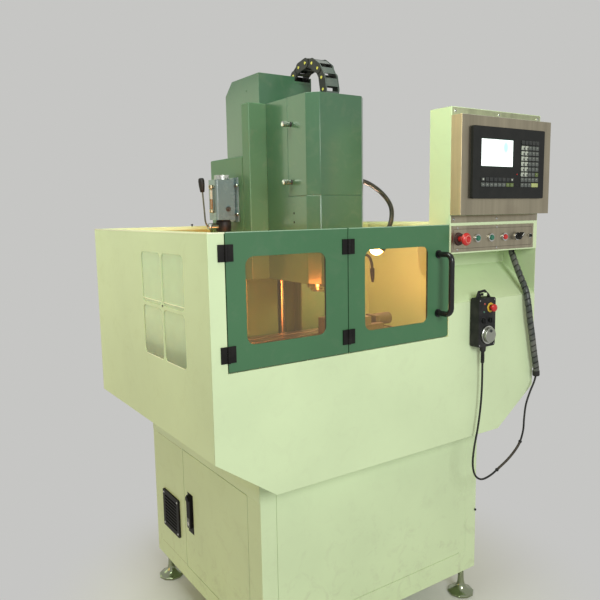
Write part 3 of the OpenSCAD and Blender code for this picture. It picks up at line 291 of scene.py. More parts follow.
# Moulded plastic and rubber: a fine grain, and a thin film of grey dust in clouds
moulded_skin, enter, spot = new_skin("Moulded skin", [
    ("Colour", "Color", (0.02, 0.02, 0.02, 1)), ("Grain", "Float", 500.0),
    ("Roughness", "Float", 0.5), ("Dust", "Float", 0.05)])
dust_grey = (0.42, 0.39, 0.34, 1)
grain = noise(moulded_skin, spot, enter["Grain"], 3)
cloud = noise(moulded_skin, spot, 24, 6)
film = calc(moulded_skin, "MULTIPLY", spread(moulded_skin, cloud, 0.45, 0.75), enter["Dust"])
end_skin(moulded_skin, blend_colour(moulded_skin, film, enter["Colour"], dust_grey),
         calc(moulded_skin, "ADD", calc(moulded_skin, "MULTIPLY", cloud, 0.14),
              enter["Roughness"], True), grain)


def moulded(name, colour, roughness=0.45, grain=900, dust=0.06, bump=0.00005, coat=0.0, gleam=0.5):
    """A finish of moulded plastic or rubber."""
    return new_look(name, moulded_skin, {"Colour": (*colour, 1), "Grain": grain,
                                         "Roughness": roughness, "Dust": dust},
                    bump, coat=coat, gleam=gleam)


rubber = moulded("rubber", (0.014, 0.014, 0.014), 0.6, 700, gleam=0.3)
black_plastic = moulded("black_plastic", (0.011, 0.011, 0.012), 0.42, gleam=0.3)

wrap_route = [place(*p) for p in (
    (611, 72, 1326), (606, 50, 1285), (602, 22, 1235), (596, -8, 1186), (594, -22, 1136),
    (602, -24, 1086), (618, -24, 1020), (634, -24, 950), (647, -24, 898), (650, -24, 872))]
hang_y = -24  # the cable hangs in one plane in front of the machine
cable_route = [place(x, hang_y, z) for x, z in (
    (641, 843), (617, 806), (596, 762), (588, 712), (584, 664), (562, 618), (512, 580),
    (452, 553), (404, 536), (358, 534), (325, 558), (312, 602), (318, 660), (334, 726),
    (346, 800), (351, 870), (351, 955))]
cable_d = 0.007
cable_path = smooth_route(wrap_route + cable_route, 5)
cable_length = route_frames(cable_path)[-1][0]
cable = new_cord("pendant_lead", cable_path, cable_d / 2, rubber, "machine")
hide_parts("pendant_cable")

# the wrap: a flat strip wound round the bundle of wires that shows between its turns
wrap_r, wrap_t, strip_w, wrap_pitch, turn_steps = 0.0116, 0.0016, 0.0175, 0.022, 24
strip_edge, strip_round = 0.0012, 0.0003
wrap_path = smooth_route(wrap_route, 8)
turns = (route_frames(wrap_path)[-1][0] - strip_w) / wrap_pitch
wind_steps = int(turns * turn_steps)
strip = bmesh.new()
strip_end = strip.faces.new([strip.verts.new((r, 0, h)) for r, h in (
    (wrap_r - wrap_t, strip_edge / 2), (wrap_r - strip_round, 0), (wrap_r, strip_edge),
    (wrap_r, strip_w - strip_edge), (wrap_r - strip_round, strip_w),
    (wrap_r - wrap_t, strip_w - strip_edge / 2))])
bmesh.ops.spin(strip, geom=[strip_end], axis=(0, 0, 1), cent=(0, 0, 0), steps=wind_steps,
               angle=turns * 2 * math.pi, dvec=(0, 0, wrap_pitch * turns / wind_steps))
bmesh.ops.recalc_face_normals(strip, faces=strip.faces)
bend_along(strip, wrap_path)
wrap = new_piece("conduit_wrap", strip, moulded("wrap_plastic", (0.05, 0.06, 0.056), 0.3, 600, 0.3),
                 "machine")
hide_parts("conduit")
bundle = new_cord("conduit_bundle", wrap_path, wrap_r - wrap_t, rubber, "machine")
cap_r = 12.9
cap = turned("conduit_cap", [(0, 9), (cap_r - 2, 9), (cap_r, 7), (cap_r, -10), (cap_r - 1.2, -11),
                             (0, -11)], black_plastic, "machine",
             wrap_path[-1], wrap_path[-1] - wrap_path[-2])

# a brown sleeve over a mended stretch of the cable, tied off at both ends
sleeve_from, sleeve_to, sleeve_top, sleeve_r = 0.44, 0.571, 0.64, 0.0045
sleeve_path = [p for p in cable_path if sleeve_from < p.x < sleeve_to and p.z < sleeve_top]
sleeve = new_cord("cable_sleeve", sleeve_path, sleeve_r,
                  moulded("sleeve_brown", (0.03, 0.021, 0.012), 0.5), "machine")
ties = [turned(f"sleeve_tie_{k}", [(0, 5), (4.8, 4.2), (6.4, 1.5), (6.4, -1.5), (4.8, -4.2),
                                   (0, -5)], rubber, "machine",
               sleeve_path[end], sleeve_path[end] - sleeve_path[near], 20)
        for k, (end, near) in enumerate(((0, 1), (-1, -2)))]

# ---- the base cabinet ----
# A folded and welded sheet-steel box with a flush access panel in front, powder coated
# cream. Its edges are rounded by the bends and by the coat.

# Powder coat and enamel: slow drifts of tone, orange peel, smears, and dust low down
coated_skin, enter, spot = new_skin("Coated skin", [
    ("Colour", "Color", (0.8, 0.8, 0.8, 1)), ("Dirt", "Color", (0.3, 0.26, 0.2, 1)),
    ("Drift", "Float", 0.06), ("Dust", "Float", 0.2), ("Smears", "Float", 0.1),
    ("Roughness", "Float", 0.4)])
drift = noise(coated_skin, spot, 3.1, 5)
smear = noise(coated_skin, spot, 17, 8, Roughness=0.7, Distortion=0.8)
peel = noise(coated_skin, spot, 620, 1)
above_floor = add_node(coated_skin, "SeparateXYZ", {0: spot}).outputs["Z"]
low_down = spread(coated_skin, above_floor, 0.55, 0.05)
tone = calc(coated_skin, "MULTIPLY", spread(coated_skin, drift, 0.3, 0.7, -1, 1), enter["Drift"])
toned = add_node(coated_skin, "VectorMath", {0: enter["Colour"],
                                             "Scale": calc(coated_skin, "ADD", tone, 1.0)},
                 operation="SCALE").outputs[0]
blot = spread(coated_skin, smear, 0.52, 0.72)
dusty = calc(coated_skin, "MULTIPLY", calc(coated_skin, "MULTIPLY", low_down, blot), enter["Dust"])
soiled = calc(coated_skin, "ADD", calc(coated_skin, "MULTIPLY", blot, enter["Smears"]), dusty, True)
end_skin(coated_skin, blend_colour(coated_skin, soiled, toned, enter["Dirt"]),
         calc(coated_skin, "ADD", calc(coated_skin, "MULTIPLY", blot, 0.12), enter["Roughness"],
              True), peel)


def coated(name, colour, roughness=0.4, drift=0.05, dust=0.25, smears=0.06, bump=0.00006,
           coat=0.0, gleam=0.5):
    """A finish of powder coat or enamel."""
    return new_look(name, coated_skin, {"Colour": (*colour, 1), "Drift": drift, "Dust": dust,
                                        "Smears": smears, "Roughness": roughness},
                    bump, coat=coat, gleam=gleam)


def broken_edges(node, edge, shortest):
    """A CAD node's shape in a new bmesh, its outer edges broken by a width. Edges shorter
    than so many widths stay sharp."""
    mesh, sharp = bmesh.new(), math.radians(28)
    mesh.from_mesh(nodes[node].data)
    bmesh.ops.remove_doubles(mesh, verts=mesh.verts, dist=2e-6)
    bmesh.ops.dissolve_limit(mesh, angle_limit=math.radians(0.3), verts=mesh.verts,
                             edges=mesh.edges)
    edges = [e for e in mesh.edges if e.is_manifold and e.is_convex
             and e.calc_length() > shortest * edge and e.calc_face_angle(0) > sharp]
    bmesh.ops.bevel(mesh, geom=edges, offset=edge, offset_type="OFFSET", segments=2,
                    profile=0.5, affect="EDGES", clamp_overlap=True, material=-1)
    return mesh


def parted(node, edge, body, parts, shortest=4.0):
    """A node's copy with broken edges, cut into pieces of different stuff. Each part is its
    name, finish and slot and a test of a face; a face goes to the first part that it passes,
    and is left out where that part has no finish. Large faces stay flat."""
    large = 0.0009
    whole = broken_edges(node, edge, shortest)
    picks = [next(i for i, part in enumerate(parts) if part[3] is None or part[3](face))
             for face in whole.faces]
    pieces = []
    for i, (kind, look, slot, _) in enumerate(parts):
        if look is None:
            continue
        mesh = whole.copy()
        bmesh.ops.delete(mesh, geom=[f for f, pick in zip(list(mesh.faces), picks) if pick != i],
                         context="FACES")
        level = [k for k, f in enumerate(mesh.faces) if len(f.verts) > 4 or f.calc_area() > large]
        piece = new_piece(f"{node}_{kind}", mesh, look, body, angle=50)
        for index in level:
            piece.data.polygons[index].use_smooth = False
        pieces.append(piece)
    whole.free()
    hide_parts(node)
    return pieces


def finished(node, edge, look, body, slot, shortest=4.0, kind="skin"):
    """A copy of a CAD node with broken edges in one finish, standing for the node."""
    parted(node, edge, body, [(kind, look, slot, None)], shortest)


cream = coated("cream_coat", (0.62, 0.745, 0.475), 0.42)
finished("base_cabinet", 0.0008, cream, "machine", "cream_paint")
finished("base_front_panel", 0.0008, cream, "machine", "cream_paint")


def add_to(mesh, part):
    """Puts the shape of one bmesh into another."""
    spare = bpy.data.meshes.new("spare")
    part.to_mesh(spare)
    part.free()
    mesh.from_mesh(spare)
    bpy.data.meshes.remove(spare)


def bar(mesh, low, high, edge):
    """A bar with broken edges from one corner to the other, put into a bmesh."""
    part = bmesh.new()
    low, high = Vector(low), Vector(high)
    bmesh.ops.create_cube(part, size=1, matrix=Matrix.Translation((low + high) / 2)
                          @ Matrix.Diagonal((*(high - low), 1)))
    bmesh.ops.bevel(part, geom=part.edges, offset=edge, segments=2, profile=0.5,
                    affect="EDGES", material=-1)
    add_to(mesh, part)


# the front panel's joint is filled and painted over at its top and right, and a flush
# plug closes its finger hole
base_low, base_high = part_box("base_cabinet")
panel_low, panel_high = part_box("base_front_panel")
filler, face_y = bmesh.new(), panel_low.y
lap, past, sunk, bottom_from = 0.003, 0.004, 0.0008, 0.385
for proud, x0, z0, x1, z1 in (
        (0.0003, panel_high.x - lap, panel_low.z - lap, panel_high.x + past, panel_high.z + past),
        (0.00031, panel_low.x, panel_high.z - lap, panel_high.x, panel_high.z + past),
        (0.00032, bottom_from, panel_low.z - past, panel_high.x, panel_low.z + lap)):
    bar(filler, (x0, face_y - proud, z0), (x1, face_y + sunk, z1), 0.0002)
new_piece("joint_filler", filler, cream, "machine")
turned("panel_plug", [(0, 0.5), (8.2, 0.5), (8.8, 0.2), (8.8, -0.6), (0, -0.6)], cream, "machine",
       place(390, 96, 430))
inset, button_up = 0.0035, 0.344
turned("cabinet_button", [(0, 6), (3, 5.6), (4.2, 4), (4.2, 1), (3, -0.5), (0, -0.5)],
       black_plastic, "machine", Vector((base_high.x - inset, face_y, button_up)),
       steps=20)

# on the side, a folded lip above the door and the joints of the fixed panel behind it
side_x, sunk = base_low.x, 0.0002
lip, lip_low, lip_high, lip_proud, lip_in = bmesh.new(), 0.6275, 0.689, 0.0018, 0.001
bar(lip, (side_x - lip_proud, base_low.y + lip_in, lip_low),
    (side_x + sunk, base_high.y - lip_in, lip_high), 0.0006)
new_piece("cabinet_lip", lip, cream, "machine")
joints, joint_w, joint_front, joint_back = bmesh.new(), 0.0012, 0.664, 0.89
for z in (0.6225, 0.172):
    bar(joints, (side_x - sunk, front_y + joint_front, z - joint_w / 2),
        (side_x + sunk, front_y + joint_back, z + joint_w / 2), 0.0001)
new_piece("side_joints", joints, coated("joint_shade", (0.33, 0.35, 0.19), 0.6), "machine")

# ---- the levelling feet ----
# Chromed steel bells on threaded studs, each locked by a hexagon nut under the cabinet.
# Ten flats round the rim take a wrench.

# Bare metal: streaks left by the tool or the brush, and a brown film in clouds
metal_skin, enter, spot = new_skin("Metal skin", [
    ("Colour", "Color", (0.6, 0.6, 0.6, 1)), ("Tarnish", "Color", (0.3, 0.24, 0.18, 1)),
    ("Roughness", "Float", 0.3), ("Streaks", "Vector", (1.0, 1.0, 1.0)),
    ("Contrast", "Float", 0.1), ("Film", "Float", 0.3)])
drawn = add_node(metal_skin, "VectorMath", {0: spot, 1: enter["Streaks"]},
                 operation="MULTIPLY").outputs[0]
streak = noise(metal_skin, drawn, 1, 4, Roughness=0.6)
cloud = noise(metal_skin, spot, 9, 5)
shift = spread(metal_skin, streak, 0.25, 0.75, -1.0, 1.0)
shade = calc(metal_skin, "ADD", calc(metal_skin, "MULTIPLY", shift, enter["Contrast"]), 1.0)
toned = add_node(metal_skin, "VectorMath", {0: enter["Colour"], "Scale": shade},
                 operation="SCALE").outputs[0]
fog = calc(metal_skin, "MULTIPLY", spread(metal_skin, cloud, 0.45, 0.8), enter["Film"])
end_skin(metal_skin, blend_colour(metal_skin, fog, toned, enter["Tarnish"]),
         calc(metal_skin, "ADD", calc(metal_skin, "MULTIPLY", shift, 0.07), enter["Roughness"],
              True), streak)


def metal(name, colour, roughness=0.3, streaks=(300, 300, 300), contrast=0.08, film=0.3):
    """A finish of bare metal, its streaks so fine along each axis."""
    return new_look(name, metal_skin, {"Colour": (*colour, 1), "Roughness": roughness,
                                       "Streaks": streaks, "Contrast": contrast, "Film": film},
                    0.00003, metallic=1.0)


chrome = metal("chrome", (0.62, 0.62, 0.6), 0.1, contrast=0.03, film=0.15)
foot_chrome = metal("foot_chrome", (0.33, 0.37, 0.25), 0.2, contrast=0.05, film=0.3)
steel = metal("machined_steel", (0.56, 0.56, 0.55), 0.3)
feet_low, feet_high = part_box("levelling_feet")
pad_r, flat_r, stud_r, nut_r, nut_low, nut_high = 0.05, 0.0465, 0.008, 0.015, 0.1, 0.113
flats, thread_pitch, thread_low, turn_steps = 10, 0.002, 0.086, 16
bell = [(0, 0), (47, 0), (50, 1.5), (50, 7.5), (47, 10.5), (40, 12.5), (31, 16.5), (23.5, 22),
        (18.5, 28.5), (15, 36), (12.5, 48), (11.2, 66), (10.4, 85), (9.5, 86), (8, 86), (8, 133),
        (0, 133)]
feet = bmesh.new()
for x in (feet_low.x + pad_r, feet_high.x - pad_r):
    for y in (feet_low.y + pad_r, feet_high.y - pad_r):
        foot = bmesh.new()
        spun(foot, bell, 60)
        for vert in foot.verts:
            if vert.co.xy.length > flat_r:
                turn = math.atan2(vert.co.y, vert.co.x) % (2 * math.pi / flats) - math.pi / flats
                vert.co.xy *= math.cos(math.pi / flats) / math.cos(turn)
        thread = bmesh.new()
        rib = [thread.verts.new((r, 0, thread_low + h)) for r, h in (
            (stud_r - 0.0004, 0), (stud_r + 0.0009, thread_pitch / 2),
            (stud_r - 0.0004, thread_pitch))]
        thread_turns = (nut_low - thread_low - thread_pitch) / thread_pitch
        bmesh.ops.spin(thread, geom=rib + [thread.edges.new(p) for p in zip(rib, rib[1:])],
                       axis=(0, 0, 1), cent=(0, 0, 0), steps=int(thread_turns * turn_steps),
                       angle=thread_turns * 2 * math.pi,
                       dvec=(0, 0, thread_pitch / turn_steps))
        bmesh.ops.recalc_face_normals(thread, faces=thread.faces)
        add_to(foot, thread)
        nut = bmesh.new()
        bmesh.ops.create_cone(nut, cap_ends=True, segments=6, radius1=nut_r, radius2=nut_r,
                              depth=nut_high - nut_low,
                              matrix=Matrix.Translation((0, 0, (nut_low + nut_high) / 2)))
        level = [e for e in nut.edges if abs(e.verts[0].co.z - e.verts[1].co.z) < 1e-6]
        bmesh.ops.bevel(nut, geom=level, offset=0.0011, segments=2, profile=0.5,
                        affect="EDGES", material=-1)
        add_to(foot, nut)
        foot.transform(Matrix.Translation((x, y, 0)))
        add_to(feet, foot)
feet = new_piece("levelling_feet_skin", feet, foot_chrome, "machine", angle=32)
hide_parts("levelling_feet")

# ---- the side door and its latch ----
# A folded cream door, flush with the cabinet's side, with a black quarter-turn latch:
# a long lever whose key barrel sits in its lower end.

finished("side_door", 0.0008, cream, "side_door", "cream_paint")
hinge_black = moulded("hinge_black", (0.009, 0.008, 0.008), 0.45, 700, 0.02, gleam=0.15)
finished("side_door_latch", 0.0012, hinge_black, "side_door_latch", "black_plastic")

# the shallow black plate behind the lever, let into the door's skin
latch_plate, door_x = bmesh.new(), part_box("side_door")[0].x
latch_front, latch_back, latch_bottom, latch_top = 0.582, 0.6285, 0.3205, 0.4715
bar(latch_plate, (door_x - 0.00022, front_y + latch_front, latch_bottom),
    (door_x + 0.0002, front_y + latch_back, latch_top), 0.0001)
new_piece("latch_plate", latch_plate, hinge_black, "side_door")

# the steel barrel and its grey plate on the lever
latch_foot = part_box("side_door_latch")[0] + Vector((0.0045, 0.015, 0.018))
key_plate, key_at = bmesh.new(), latch_foot + Vector((0, 0, 0.004))
key_half = Vector((0.0016, 0.021, 0.034)) / 2
bar(key_plate, key_at - key_half, key_at + key_half, 0.0007)
new_piece("latch_key_plate", key_plate, moulded("latch_grey", (0.12, 0.13, 0.12), 0.35),
          "side_door_latch")
turned("latch_barrel", [(0, 2.2), (1.4, 2.2), (1.6, 0.8), (2.8, 2.2), (6.2, 2), (7.2, 1.2),
                        (7.2, -1), (0, -1)],
       steel, "side_door_latch", latch_foot, (-1, 0, 0))

# ---- the cabinet's fan ----
# A moulded black louvre with its tunnel, held by four cross-head screws, and a
# seven-bladed rotor behind it.


def screw_shape(radius, at, toward):
    """A pan head screw with a cross recess, its radius in millimetres."""
    mesh, sides, deep = bmesh.new(), 16, 0.34 * radius / 1000
    spun(mesh, [(r * radius, h * radius) for r, h in (
        (0, 0.62), (0.24, 0.61), (0.5, 0.56), (0.85, 0.38), (1, 0.1), (1, -0.2), (0, -0.2))],
         sides)
    step = 360 / sides
    crown = [f for f in mesh.faces if f.calc_center_median().z > 0.5 * radius / 1000
             and (math.degrees(math.atan2(*f.calc_center_median().yx)) + step / 2) % 90 < step]
    pressed = bmesh.ops.extrude_face_region(mesh, geom=crown)
    bmesh.ops.delete(mesh, geom=crown, context="FACES_KEEP_BOUNDARY")
    bmesh.ops.translate(mesh, vec=(0, 0, -deep),
                        verts=[v for v in pressed["geom"] if isinstance(v, bmesh.types.BMVert)])
    bmesh.ops.recalc_face_normals(mesh, faces=mesh.faces)
    stand_up(mesh, at, toward)
    return mesh


def screws(name, places, radius, look, toward=(0, -1, 0)):
    """Like screws in a row or round a plate, made one piece."""
    mesh = bmesh.new()
    for at in places:
        add_to(mesh, screw_shape(radius, at, toward))
    new_piece(name, mesh, look, "machine", angle=25)


finished("fan_housing", 0.0007, hinge_black, "machine", "black_plastic")
finished("fan_rotor", 0.0006, moulded("rotor_plastic", (0.03, 0.03, 0.032), 0.4), "fan_rotor",
         "black_plastic")
fan_low, fan_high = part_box("fan_housing")
screw_in = 0.012
screws("fan_screws", [Vector((fan_low.x, y, z))
                      for y in (fan_low.y + screw_in, fan_high.y - screw_in)
                      for z in (fan_low.z + screw_in, fan_high.z - screw_in)],
       4.2, steel, toward=(-1, 0, 0))

# ---- the drives in the cabinet ----
# Three finned servo drives and a transformer, in grey moulded cases. They stand in a row
# on the cabinet's floor, where the side door gives access to them.

finished("drive_modules", 0.0012, moulded("drive_grey", (0.3, 0.31, 0.32), 0.5, 600), "machine",
         "grey_plastic")

# ---- the splash enclosure ----
# Cream-coated sheet-steel walls on a trough with sloping sides, open at the top. Four
# acrylic lights are let into the left wall, with one sheet bolted on behind them.

for node in ("chip_tray", "front_panel", "left_wall", "right_wall", "rear_wall"):
    finished(node, 0.0007, cream, "machine", "cream_paint")


def glazed(name, tint, gloss, haze, haze_share, low_z=0.0, high_z=0.1):
    """Clear sheet: shows what is behind it, reflects more at a low angle and has a faint film that
    is partly dust; where the film is strong its pale colour is also painted light for a lit inside
    seen through the sheet. The film darkens from one height down to another as painted shade."""
    look, tree = blank_look(name)
    tree.nodes.clear()
    shade_below, straight_on, slanting = 0.42, 0.04, 0.9
    spot = add_node(tree, "TexCoord").outputs["Object"]
    film = spread(tree, noise(tree, spot, 14, 6), 0.4, 0.75, haze_share, haze_share * 1.15)
    height = add_node(tree, "SeparateXYZ", {0: spot}).outputs["Z"]
    # the film's colour darkens below: painted shade for a darker inside behind the lower part
    haze = blend_colour(tree, spread(tree, height, low_z, high_z),
                        tuple(c * shade_below for c in haze) + (1,), (*haze, 1))
    clear = add_node(tree, "BsdfTransparent", {"Color": (*tint, 1)}).outputs[0]
    dust = add_node(tree, "BsdfDiffuse", {"Color": haze}).outputs[0]
    shine = add_node(tree, "BsdfGlossy", {"Roughness": gloss}).outputs[0]
    veil = add_node(tree, "MixShader", {0: film, 1: clear, 2: dust}).outputs[0]
    slant = add_node(tree, "LayerWeight", {"Blend": 0.5}).outputs["Facing"]
    mirror = calc(tree, "ADD", calc(tree, "MULTIPLY", calc(tree, "POWER", slant, 5.0), slanting),
                  straight_on)
    behind = add_node(tree, "NewGeometry").outputs["Backfacing"]
    mirror = calc(tree, "MULTIPLY", mirror, calc(tree, "SUBTRACT", 1.0, behind))
    skin = add_node(tree, "MixShader", {0: mirror, 1: veil, 2: shine}).outputs[0]
    add_node(tree, "OutputMaterial", {0: skin})
    return look


# the pale mint film mixed in at about half is partly dust and partly painted light for the pale
# inside seen through the lights, and darker low down as painted shade
finished("side_window_pane", 0.0005, glazed("mint_acrylic", (0.8, 0.9, 0.82), 0.08,
                                            (0.6, 0.76, 0.58), 0.5, 1.02, 1.17),
         "machine", "glazing", kind="sheet")

# the cut lower edges of the four openings, in a pale cream that is a painted highlight
sills, pane_front, pane_wide, pane_gap = bmesh.new(), 0.156, 0.153, 0.01
sill_x, sill_t, sill_h, sill_low, end_gap = -0.6599, 0.0017, 0.0026, 0.0002, 0.001
for col in range(2):
    for z in (1.046, 1.2215):
        y = front_y + pane_front + col * (pane_wide + pane_gap)
        bar(sills, (sill_x, y + end_gap, z - sill_low),
            (sill_x + sill_t, y + pane_wide - end_gap, z + sill_h), 0.0003)
# a paler cream than the walls, standing for light caught on the edges: painted highlight
rim_highlight = coated("rim_highlight", (0.85, 0.88, 0.66), 0.3)
new_piece("window_sills", sills, rim_highlight, "machine")

# the folded top edge of the left wall and of the post beside the doors, in the same pale cream as a
# painted highlight
wall_low, wall_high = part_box("left_wall")
rim, rim_h, rim_t, rim_proud, rim_edge = bmesh.new(), 0.0036, 0.0012, 0.0003, 0.00028
bar(rim, (wall_low.x - rim_proud, front_y, wall_high.z - rim_h),
    (wall_low.x + rim_t, wall_high.y, wall_high.z + rim_proud), rim_edge)
post_left, post_right = wall_low.x + 0.0013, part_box("left_door")[0].x - 0.001
bar(rim, (post_left, front_y - rim_proud, wall_high.z - rim_h),
    (post_right, front_y + rim_t, wall_high.z + rim_proud), rim_edge)
new_piece("wall_rim", rim, rim_highlight, "machine")

# domed bolt heads along the window sheet's edge inside, and one dark screw head outside
# where the bars cross
pane_low, pane_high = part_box("side_window_pane")
mid_y = (pane_low.y + pane_high.y) / 2
bolts, bolt_in = bmesh.new(), 0.006
for y in (pane_low.y + bolt_in, mid_y, pane_high.y - bolt_in):
    for z in (pane_low.z + bolt_in, pane_high.z - bolt_in):
        bolt = bmesh.new()
        spun(bolt, [(0, 3), (3, 2.6), (5, 0.8), (5, -0.2), (0, -0.2)], 20)
        stand_up(bolt, Vector((pane_high.x, y, z)), (1, 0, 0))
        add_to(bolts, bolt)
new_piece("window_bolts", bolts, steel, "machine")
cross_at = Vector((-0.66, mid_y - 0.0015, 1.2115))
screws("window_screw", [cross_at], 3.4, black_plastic, toward=(-1, 0, 0))

# a small black knob on the rear wall's rim
turned("rim_knob", [(0, 9), (3, 8.6), (4.6, 6.8), (4.6, 4.5), (2.5, 3), (2.5, -1), (0, -1)],
       black_plastic, "machine", place(-272, 935, 1430), (0, 0, 1))

# ---- the bi-fold doors ----
# Two folded green leaves, each with an acrylic light held by a rubber strip inside. Black
# square hinges carry them, and a bent tube handle stands on two flanges on the right leaf.

door_green = coated("door_green_coat", (0.05, 0.155, 0.07), 0.38)
# the amber tint of the door lights is partly an oily film and partly painted warm light on the
# lamp-lit inside seen through them
door_acrylic = glazed("door_acrylic", (0.96, 0.8, 0.6), 0.03, (0.75, 0.6, 0.42), 0.04)
for leaf in ("left_door", "right_door"):
    finished(leaf, 0.0004, door_green, leaf, "door_paint")
    finished(leaf + "_pane", 0.0004, door_acrylic, leaf, "glazing", kind="sheet")

# the folded top edge of each leaf, in a paler green that is a painted highlight
door_edge_highlight = coated("door_edge_highlight", (0.3, 0.47, 0.34), 0.25)
fold_in, fold_h, fold_t, fold_proud = 0.002, 0.0018, 0.001, 0.0002
for leaf in ("left_door", "right_door"):
    low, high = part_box(leaf)
    fold = bmesh.new()
    bar(fold, (low.x + fold_in, low.y - fold_proud, high.z - fold_h),
        (high.x - fold_in, low.y + fold_t, high.z + fold_proud), 0.00018)
    new_piece(leaf + "_edge", fold, door_edge_highlight, leaf)


def bars_round(mesh, low, high, front, back, wide, edge):
    """Four bars round an opening, between a front and a back, put into a bmesh."""
    for z in (low.z, high.z - wide):
        bar(mesh, (low.x, front, z), (high.x, back, z + wide), edge)
    for x in (low.x, high.x - wide):
        bar(mesh, (x, front, low.z + wide), (x + wide, back, high.z - wide), edge)


# the rubber strip that holds each light, inside the leaf
seal_t, seal_w = 0.004, 0.011
for leaf in ("left_door", "right_door"):
    low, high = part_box(leaf + "_pane")
    seal = bmesh.new()
    bars_round(seal, low, high, high.y, high.y + seal_t, seal_w, 0.0012)
    new_piece(leaf + "_seal", seal, rubber, leaf)

for node, body in (("post_hinges", "machine"), ("left_door_hinges", "left_door"),
                   ("right_door_hinges", "right_door")):
    finished(node, 0.0007, hinge_black, body, "black_plastic")
finished("door_handle", 0.0008, coated("handle_black", (0.008, 0.008, 0.009), 0.2, dust=0.05,
                                       smears=0.03, coat=0.15, gleam=0.35),
         "right_door", "black_metal")

# ---- the control box ----
# A cream sheet-metal column carries a brushed stainless box, which screws on through its
# flanges above and below.

finished("control_column", 0.0008, cream, "machine", "cream_paint")
upright_brush = (48, 48, 1.3)
stainless = metal("stainless", (0.43, 0.385, 0.28), 0.34, upright_brush, 0.15, film=0.35)
box_lit_side_metal = metal("box_lit_side_metal", (0.76, 0.61, 0.38), 0.5, upright_brush, 0.16, film=0.1)
box_highlight_metal = metal("box_highlight_metal", (0.9, 0.92, 0.76), 0.5, contrast=0.05, film=0.0)
# the box's left-facing faces take a paler, warmer stainless as painted light on its lit side, and
# its upward faces a near-white metal as a painted highlight
parted("panel_box", 0.0022, "machine", [
    ("skin", stainless, "stainless", lambda f: f.normal.x > -0.3 and f.normal.z < 0.3),
    ("left_lit_side", box_lit_side_metal, "stainless", lambda f: f.normal.x <= -0.3),
    ("top_highlight", box_highlight_metal, "stainless", None)])
box_low, box_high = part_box("panel_box")
column_low, column_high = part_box("control_column")
flange_y, flange_t, flange_in = column_low.y, 0.0016, 0.004
flange_reflection = metal("flange_reflection", (0.52, 0.56, 0.35), 0.4, upright_brush, 0.12, film=0.25)
left_x, middle_x, right_x = box_low.x + 0.016, 0.4335, box_high.x - 0.02
bottom_from, gap_low, gap_high = column_low.z + 0.1, 0.001, 0.002
# the top flange's paler, greener stainless is a painted reflection; the bottom flange is plain
# stainless
for kind, look, low_z, high_z, ends in (
        ("top", flange_reflection, box_high.z, column_high.z, (left_x, middle_x, right_x)),
        ("bottom", stainless, bottom_from, box_low.z, (left_x, middle_x))):
    flange = bmesh.new()
    bar(flange, (box_low.x + flange_in, flange_y - flange_t, low_z + gap_low),
        (box_high.x - flange_in, flange_y + 0.0002, high_z - gap_high), 0.0006)
    new_piece(f"box_flange_{kind}", flange, look, "machine")
    screws(f"box_screws_{kind}", [Vector((x, flange_y - flange_t, (low_z + high_z) / 2))
                                  for x in ends], 4.8, chrome)

# ---- the control panel and its keys ----
# A black anodised front with a lit screen, nine rows of five keys beside it and two rows
# of eight below, and a small indicator between the blocks.

panel_black = moulded("panel_black", (0.009, 0.0098, 0.009), 0.5, 1500, 0.015, gleam=0.3)
finished("control_panel", 0.0015, panel_black, "machine", "panel_black")
panel_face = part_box("control_panel")[0].y

# the screen glows, palest in a round patch near its upper right corner
screen_lit, tree = blank_look("lit_screen")
shader = tree.nodes["Principled BSDF"].inputs
spot = add_node(tree, "TexCoord").outputs["Object"]
screen_low, screen_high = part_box("panel_screen")
patch_x, patch_z = screen_low.x * 0.24 + screen_high.x * 0.76, screen_high.z - 0.026
patch = add_node(tree, "VectorMath", {0: spot, 1: (patch_x, 0, patch_z)},
                 operation="SUBTRACT").outputs[0]
patch = add_node(tree, "VectorMath", {0: patch, 1: (55, 0, 34)}, operation="MULTIPLY").outputs[0]
patch = add_node(tree, "VectorMath", {0: patch}, operation="LENGTH").outputs["Value"]
hue = blend_colour(tree, spread(tree, patch, 0.4, 1.1), (0.35, 0.72, 0.85, 1), (0.93, 0.99, 1, 1))
shader["Roughness"].default_value = 0.12
tree.links.new(hue, shader["Base Color"])
tree.links.new(hue, shader["Emission Color"])
shader["Emission Strength"].default_value = 0.85
finished("panel_screen", 0.0003, screen_lit, "machine", "screen_white")

# the screen's dark green inner rim
rim, rim_w, rim_front, rim_back = bmesh.new(), 0.0022, screen_low.y - 0.0006, screen_low.y + 0.0004
bars_round(rim, screen_low, screen_high, rim_front, rim_back, rim_w, 0.0002)
new_piece("screen_rim", rim, moulded("rim_green", (0.01, 0.06, 0.03), 0.3), "machine")

key_looks = {
    "dark": moulded("key_dark", (0.02, 0.022, 0.022), 0.5, 1500),
    "grey": moulded("key_grey", (0.085, 0.095, 0.09), 0.5, 1500),
    "pale": moulded("key_pale", (0.4, 0.43, 0.38), 0.45, 1500),
    "green": moulded("key_green", (0.1, 0.14, 0.04), 0.45, 1500),
    "lime": moulded("key_lime", (0.38, 0.43, 0.17), 0.45, 1500)}
key_low, key_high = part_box("keypad")
keys = {tone: bmesh.new() for tone in key_looks}
pale_marks, dark_marks = bmesh.new(), bmesh.new()


def key(tone, x, z, wide, high):
    """A key cap of a tone, round its middle."""
    bar(keys[tone], (x - wide / 2, key_low.y - 0.0003, z - high / 2),
        (x + wide / 2, key_high.y, z + high / 2), 0.0009)


def mark(mesh, x, z, wide, high):
    """A raised plain mark on a key."""
    bar(mesh, (x - wide / 2, key_low.y - 0.0006, z - high / 2),
        (x + wide / 2, key_low.y - 0.0001, z + high / 2), 0.0001)


